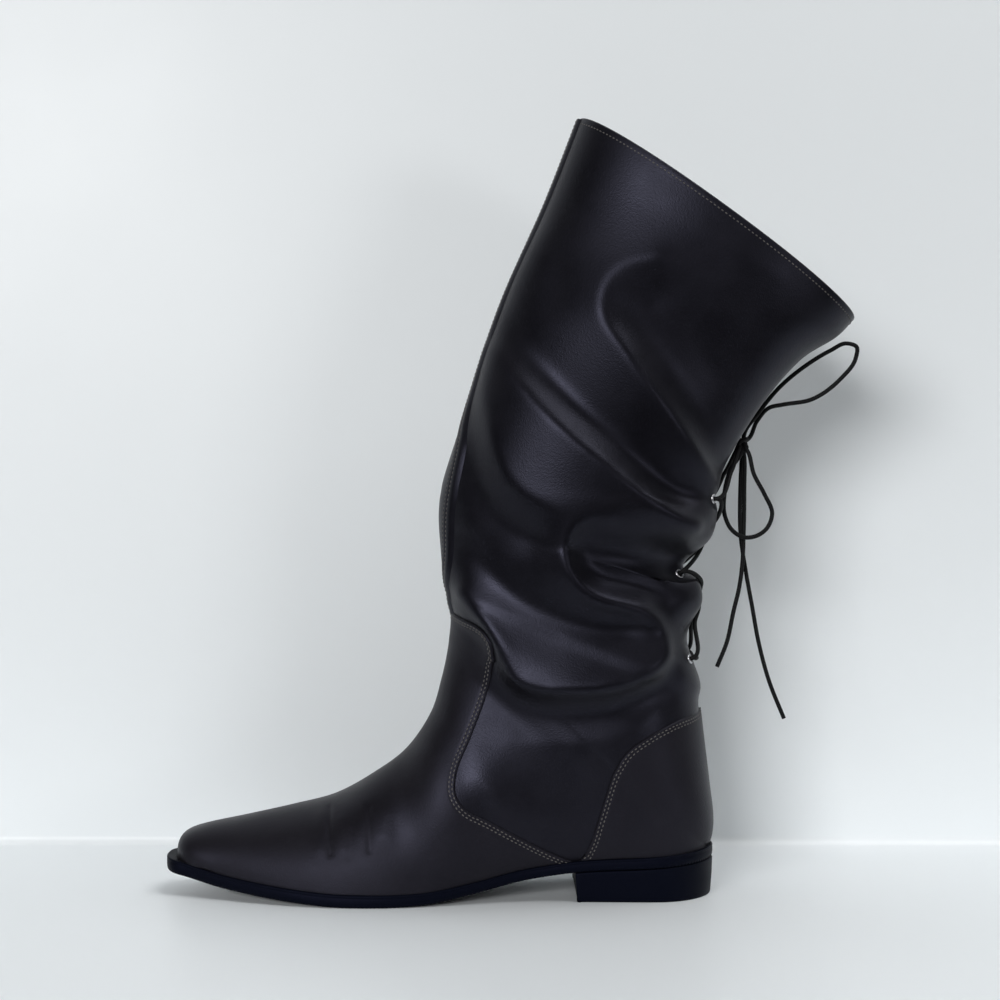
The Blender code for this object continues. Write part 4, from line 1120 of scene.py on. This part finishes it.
class BOOT_OT_vamp(bpy.types.Operator):
    """Vamp that laps over the quarters, with a rounded edge and two rows of stitches"""
    bl_idname = "boot.vamp"
    bl_label = "Vamp"

    def execute(self, context):
        sizes = context.scene.boot_sizes
        lap = sizes.lap / MM
        seam_v, seam_q = seam_places()
        half = np.linspace(0.0, 1.0, 161)
        run = np.linspace(0.0, 1.0, len(seam_v))
        end_v = smooth(run, seam_v, half)
        end_q = smooth(run, seam_q, half)
        start_q = np.interp(half, (0.0, 0.25, 0.5, 1.0), (0.0, 0.13, 0.28, 0.5))
        end_v = np.concatenate((end_v, end_v[-2::-1]))
        end_q = np.concatenate((end_q, 1 - end_q[-2::-1]))
        start_q = np.concatenate((start_q, 1 - start_q[-2::-1]))
        share = np.linspace(0.0, 1.0, 160)[:, None]
        lines_v = share * end_v
        lines_q = start_q + share * (end_q - start_q)
        points = lap_panel(lines_v, lines_q)
        out = grid_out(points)
        lifted = panel_lift(points, out, points[-1], lap, 26)
        floor = sole_top(lifted[..., 0])
        lifted[..., 2] = np.maximum(lifted[..., 2], floor + 0.05)
        lifted[:, 0, 2] = floor[:, 0] - SOLE_SINK
        lifted[:, -1, 2] = floor[:, -1] - SOLE_SINK
        lifted[0, :, 2] = floor[0] - SOLE_SINK
        hem = points[-1] - HEM_SINK * out[-1]
        add_piece("vamp_leather", [(np.concatenate((lifted, hem[None])), False, False)],
                  get_material("panel_calf_leather"), ["vamp"])
        for row in (sizes.first_row, sizes.second_row):
            sew(lifted, out, row / MM)
        return {"FINISHED"}


class BOOT_OT_counter(bpy.types.Operator):
    """Heel counter in two halves that meet at the back, with two rows of stitches"""
    bl_idname = "boot.counter"
    bl_label = "Heel counter"

    def execute(self, context):
        sizes = context.scene.boot_sizes
        lap = sizes.lap / MM
        seam = through(COUNTER_SEAM, 2.0)
        outline = np.concatenate((seam, ((-33.0, -20.0), (80.0, -20.0), (80.0, 94.0))))
        seat = np.interp(-33.0, STATIONS["base_x"][:FOOT_COUNT], STATION_V[:FOOT_COUNT])
        top = np.interp(93.6, STATIONS["base_z"][HEEL_V:], STATION_V[HEEL_V:])
        v = even_rows(seat + 0.02, top, 0.9)
        grids = []
        for start, stop in ((0.0, 0.5), (1.0, 0.5)):
            edge = first_exit(lambda q: plain_form(np.broadcast_to(v, q.shape), q)[0],
                              np.full(v.shape, abs(start - 0.002)), np.full(v.shape, stop), outline)
            lines_q = start + (edge - start) * np.linspace(0.0, 1.0, 100)[:, None]
            points = lap_panel(np.broadcast_to(v, lines_q.shape), lines_q)
            for _ in range(COUNTER_TURNS):
                mean = points[:-2, 1:-1] + points[2:, 1:-1] + points[1:-1, :-2] + points[1:-1, 2:]
                points[1:-1, 1:-1] = points[1:-1, 1:-1] / 2 + mean / 8
            out = grid_out(points) * (1.0 if start else -1.0)
            lifted = panel_lift(points, out, points[-1], lap, 26)
            floor = sole_top(lifted[..., 0])
            on_sole = v < HEEL_V
            lifted[..., 2] = np.where(on_sole, np.maximum(lifted[..., 2], floor + 0.05), lifted[..., 2])
            lifted[0, :, 2] = np.where(on_sole, floor[0] - SOLE_SINK, lifted[0, :, 2])
            lifted[0, :, 1] = np.where(on_sole, lifted[0, :, 1], 0.0)
            hem = points[-1] - HEM_SINK * out[-1]
            grids.append((np.concatenate((lifted, hem[None])), False, start == 0.0))
            for row in (sizes.first_row, sizes.second_row):
                sew(lifted, out, row / MM)
        add_piece("counter_leather", grids, get_material("panel_calf_leather"),
                  ["heel_counter"], 2e-5)
        return {"FINISHED"}


class BOOT_OT_front_lap(bpy.types.Operator):
    """Lapped seam down the front of the shaft, which turns in to the outer side over the shin,
    with two rows of stitches"""
    bl_idname = "boot.front_lap"
    bl_label = "Front seam"

    def execute(self, context):
        lap = context.scene.boot_sizes.lap / MM
        rows = even_rows(HEEL_V + 0.2, LAST_V, 1.2)
        heights, insets = np.array(FRONT_SEAM).T
        v, q = np.meshgrid(rows, np.linspace(0.30, 0.56, 260), indexing="ij")
        dense = leather(v, q)
        front = leather(rows, np.full(len(rows), 0.5))
        inset = smooth(heights, insets, front[:, 2])
        axis = unit(np.stack((station("base_x", rows) - station("ridge_x", rows), 0 * rows,
                              station("base_z", rows) - station("ridge_z", rows)), axis=1))
        depth = np.sum((dense - front[:, None]) * axis[:, None], axis=-1)
        steps = np.linalg.norm(np.diff(dense, axis=1), axis=-1)
        run = np.concatenate((np.zeros((len(rows), 1)), np.cumsum(steps, axis=1)), axis=1)
        middle = np.argmin(np.abs(q[0] - 0.5))
        place = []
        for row in range(len(rows)):
            fall = np.minimum.accumulate(depth[row, :middle + 1])[::-1]
            seam = np.interp(inset[row], fall, run[row, :middle + 1][::-1])
            place.append(np.interp(seam + FRONT_ROWS[1] - LAP_ACROSS, run[row], q[0]))
        place = np.array(place)
        points = leather(np.broadcast_to(rows[:, None], place.shape), place)
        out = grid_out(points)
        t = np.clip(LAP_ACROSS / lap, 0.0, 1.0)
        lift = (SEAT_GAP + lap) * soft_step((LAP_ACROSS[0] - LAP_ACROSS) / 4.0)
        lift = lift * np.sqrt(np.maximum(1 - (1 - t) ** 2, 0.0))
        for row in FRONT_ROWS:
            lift = lift - CHANNEL_DEPTH * np.exp(-((LAP_ACROSS - row) / CHANNEL_HALF) ** 2)
        lifted = points + lift[None, :, None] * out
        lifted[:, 0] = points[:, 0] - FRONT_SINK * out[:, 0]
        lifted[:, -1] = points[:, -1] - FRONT_SINK * out[:, -1]
        add_piece("front_lap_leather", [(lifted, False, False)], get_material("satin_calf_leather"),
                  ["front_seam"])
        for row in FRONT_ROWS:
            at = int(np.argmin(np.abs(LAP_ACROSS - row)))
            add_stitches(lifted[:, at], out[:, at])
        return {"FINISHED"}


class BOOT_OT_stitches(bpy.types.Operator):
    """All rows of stitches as one piece"""
    bl_idname = "boot.stitches"
    bl_label = "Stitches"

    def execute(self, context):
        add_piece("seam_stitches", STITCHES, get_material("bonded_thread"))
        return {"FINISHED"}


# Lacing

def eyelet_seat(side, place):
    """Seat of an eyelet on the folded leather: its section, its way round that, its centre and
    its outward direction."""
    v, q = EYELET_PLACES[place - 1]
    q = q if side == "outer" else 1 - q
    at = np.array([v]), np.array([q])
    return v, q, leather(*at)[0], normal_of(leather, *at)[0]


class BOOT_OT_eyelets(bpy.types.Operator):
    """Rolled eyelets of the back lacing"""
    bl_idname = "boot.eyelets"
    bl_label = "Eyelets"

    def execute(self, context):
        flange = context.scene.boot_sizes.eyelet / MM
        turn = np.linspace(0.0, math.pi, 9)
        barrel = flange - 2 * RING_ROLL - 0.1
        radius = np.concatenate(([flange - 0.1], flange - RING_ROLL + RING_ROLL * np.cos(turn),
                                 [barrel, barrel]))
        height = np.concatenate(([-0.4], 0.1 + 0.65 * np.sin(turn), [-0.6, -2.6]))
        spin = 2 * math.pi * np.arange(RING_SIDES) / RING_SIDES
        grids = []
        places = [(side, place) for side in ("outer", "inner") for place in (1, 2, 3)]
        for side, place in places:
            centre, out = eyelet_seat(side, place)[2:]
            first = unit(np.cross(out, (0.0, 0.0, 1.0)))
            second = np.cross(out, first)
            ring = first * np.cos(spin)[:, None] + second * np.sin(spin)[:, None]
            grid = centre + radius[:, None, None] * ring + height[:, None, None] * out
            grids.append((grid, True, False))
        add_piece("eyelet_rings", grids, get_material("nickel_plate"),
                  [f"eyelet_{side}_{place}" for side, place in places])
        return {"FINISHED"}


def lace_piece(name, paths, radius, replaces):
    """Lace along one or more paths, with a map that counts metres along and round it."""
    grids = [(tube(path, radius, LACE_SIDES), True, False) for path in paths]
    piece = add_piece(name, grids, get_material("waxed_cotton_cord"), replaces)
    lengths = [np.pad(runs(path), 2, mode="edge") for path in paths]
    along = np.concatenate([np.repeat(run, LACE_SIDES) for run in lengths]) * MM
    girth = 2 * math.pi * radius * np.arange(LACE_SIDES) / LACE_SIDES
    around = np.concatenate([np.tile(girth, len(run)) for run in lengths]) * MM
    add_uv(piece, along, around)
    return piece


class BOOT_OT_lace(bpy.types.Operator):
    """Lace through the eyelets, its knot, its two loops and its two ends"""
    bl_idname = "boot.lace"
    bl_label = "Lace"

    def execute(self, context):
        diameter = context.scene.boot_sizes.lace
        radius = diameter / 2 / MM
        knot = np.array(KNOT_CENTRE)
        seats = {(side, place): eyelet_seat(side, place)
                 for side in ("outer", "inner") for place in (1, 2, 3)}

        def peg(seat, height):
            return seat[2] + height * seat[3]

        def bar(first, second):
            share = np.linspace(0.0, 1.0, 11)
            v = first[0] + (second[0] - first[0]) * share
            start = first[1] if first[1] < 0.5 else first[1] - 1
            end = second[1] if second[1] < 0.5 else second[1] - 1
            q = (start + (end - start) * share) % 1.0
            over = leather(v, q) + BAR_STAND * normal_of(leather, v, q)
            heights = (LACE_INSIDE, LACE_IN_RING, LACE_OUTSIDE)
            route = np.vstack([peg(first, height) for height in heights] + [over[3:-3]]
                              + [peg(second, height) for height in heights[::-1]])
            return through(route, 0.9)

        paths = [bar(seats["outer", 1], seats["inner", 1])]
        for place in (1, 2):
            paths.append(bar(seats["outer", place], seats["inner", place + 1]))
            paths.append(bar(seats["inner", place], seats["outer", place + 1]))
        for side, way in (("outer", -1.0), ("inner", 1.0)):
            seat = seats[side, 3]
            goal = knot + np.array((-1.6, 2.6 * way, -1.2))
            route = np.vstack((peg(seat, LACE_INSIDE), peg(seat, LACE_IN_RING), peg(seat, 1.6),
                               (peg(seat, 1.6) + goal) / 2 + 1.6 * seat[3], goal))
            paths.append(through(route, 0.9))
        lace_piece("lace_bars", paths, radius, ["lace_crossings"])

        turn = np.linspace(0.0, 2 * math.pi, 121)
        size = (KNOT_RADIUS - radius) / 3
        trefoil = np.stack((KNOT_DEPTH * np.sin(3 * turn), np.sin(turn) + 2 * np.sin(2 * turn),
                            np.cos(turn) - 2 * np.cos(2 * turn)), axis=1)
        tied = lace_piece("lace_knot_turns", [knot + size * trefoil], radius, ["lace_knot"])

        routes = (("lace_loop_up", LOOP_UP, "knot", "loose"),
                  ("lace_loop_down", LOOP_DOWN, "knot", "hanging"),
                  ("lace_end_short", END_SHORT, "bare", "hanging"),
                  ("lace_end_long", END_LONG, "bare", "hanging"))
        for name, route, far_end, lay in routes:
            tucked = knot + CORD_TUCK * (np.array(route) - knot)
            back_in = tucked[-1:] if far_end == "knot" else tucked[:0]
            path = through(np.vstack((tucked[:1], route, back_in)), 1.0)
            piece = lace_piece(name + "_cord", [path], radius, [name])
        return {"FINISHED"}


# Studio: floor and wall in millimetres, strength of the air as light and as it is seen, lamps
# (place, aim, size and power) and camera in metres and watts

FLOOR_FRONT, FLOOR_BACK, FLOOR_HALF = -215.0, 112.0, 2600.0
SWEEP, WALL_TOP = 5.0, 1600.0
AIR_LIGHT, AIR_SEEN = 0.04, 0.78
LAMPS = (
    ("window_softbox", (-1.7, -3.9, 1.4), (-0.05, 0.0, 0.2), (1.9, 0.95), 110.0),
    ("side_softbox", (2.3, -2.7, 0.35), (0.0, 0.0, 0.15), (1.0, 0.8), 13.0),
    ("top_softbox", (0.7, -0.15, 1.9), (0.05, 0.0, 0.0), (1.4, 1.4), 27.0),
)
CAMERA_PLACE = (-0.073, -0.900, 0.200)
CAMERA_SENSOR, CAMERA_LENS = 36.0, 63.06


class BOOT_OT_stage(bpy.types.Operator):
    """Pale floor that sweeps up behind the boot, soft lights and the camera"""
    bl_idname = "boot.stage"
    bl_label = "Studio"

    def execute(self, context):
        scene = context.scene
        turn = np.linspace(0.0, math.pi / 2, 13)
        depth = np.concatenate(([FLOOR_FRONT, -120.0, 0.0], FLOOR_BACK + SWEEP * np.sin(turn),
                                [FLOOR_BACK + SWEEP]))
        rise = np.concatenate(([0.0, 0.0, 0.0], SWEEP * (1 - np.cos(turn)), [WALL_TOP]))
        across = np.linspace(-FLOOR_HALF, FLOOR_HALF, 5)
        grid = np.stack((np.broadcast_to(across[:, None], (5, len(depth))),
                         np.broadcast_to(depth, (5, len(depth))),
                         np.broadcast_to(rise, (5, len(depth)))), axis=-1)
        mesh = bpy.data.meshes.new("studio_floor")
        mesh.from_pydata(grid.reshape(-1, 3) * MM, [], grid_faces(5, len(depth)))
        mesh.shade_smooth()
        mesh.materials.append(get_material("painted_board"))
        floor = bpy.data.objects.new("studio_floor", mesh)
        scene.collection.objects.link(floor)

        for name, place, aim, size, power in LAMPS:
            lamp = bpy.data.lights.new(name, "AREA")
            lamp.shape = "RECTANGLE"
            lamp.size, lamp.size_y = size
            lamp.energy = power
            holder = bpy.data.objects.new(name, lamp)
            holder.location = place
            way = np.array(aim) - np.array(place)
            tilt = math.atan2(math.hypot(way[0], way[1]), -way[2])
            holder.rotation_euler = (tilt, 0.0, math.atan2(way[1], way[0]) - math.pi / 2)
            scene.collection.objects.link(holder)

        world = bpy.data.worlds.new("studio_air")
        world.use_nodes = True
        air = world.node_tree.nodes["Background"]
        air.inputs["Color"].default_value = linear("#e6eef4")
        seen = node(world.node_tree, "ShaderNodeLightPath").outputs["Is Camera Ray"]
        level = node(world.node_tree, "ShaderNodeMapRange", {"To Min": AIR_LIGHT, "To Max": AIR_SEEN},
                     [("Value", seen)])
        world.node_tree.links.new(level.outputs["Result"], air.inputs["Strength"])
        scene.world = world
        scene.view_settings.view_transform = "Standard"

        lens = bpy.data.cameras.new("photo_camera")
        lens.sensor_width = CAMERA_SENSOR
        lens.lens = CAMERA_LENS
        lens.clip_start = 0.02
        lens.clip_end = 20.0
        camera = bpy.data.objects.new("photo_camera", lens)
        camera.location = CAMERA_PLACE
        camera.rotation_euler = (math.pi / 2, 0.0, 0.0)
        scene.collection.objects.link(camera)
        scene.camera = camera
        return {"FINISHED"}


OPERATORS = (BOOT_OT_stage, BOOT_OT_eyelets, BOOT_OT_lace, BOOT_OT_outsole, BOOT_OT_heel, BOOT_OT_insole,
             BOOT_OT_shaft, BOOT_OT_vamp, BOOT_OT_counter, BOOT_OT_front_lap, BOOT_OT_stitches)


class BOOT_PT_panel(bpy.types.Panel):
    """Lists the boot's sizes, colours and pieces"""
    bl_idname = "BOOT_PT_panel"
    bl_label = "Slouch boot"
    bl_space_type = "VIEW_3D"
    bl_region_type = "UI"
    bl_category = "Boot"

    def draw(self, context):
        for group in (context.scene.boot_sizes, context.scene.boot_colours):
            box = self.layout.box()
            for name in group.bl_rna.properties.keys():
                if name not in ("rna_type", "name"):
                    box.prop(group, name)
        for operator in OPERATORS:
            self.layout.operator(operator.bl_idname)


CLASSES = (BootSizes, BootColours) + OPERATORS + (BOOT_PT_panel,)


def register():
    for made in CLASSES:
        bpy.utils.register_class(made)
    bpy.types.Scene.boot_sizes = bpy.props.PointerProperty(type=BootSizes)
    bpy.types.Scene.boot_colours = bpy.props.PointerProperty(type=BootColours)


def unregister():
    del bpy.types.Scene.boot_colours
    del bpy.types.Scene.boot_sizes
    for made in reversed(CLASSES):
        bpy.utils.unregister_class(made)


def main():
    register()
    for operator in OPERATORS:
        getattr(bpy.ops.boot, operator.bl_idname.split(".")[1])()


if __name__ == "__main__":
    main()
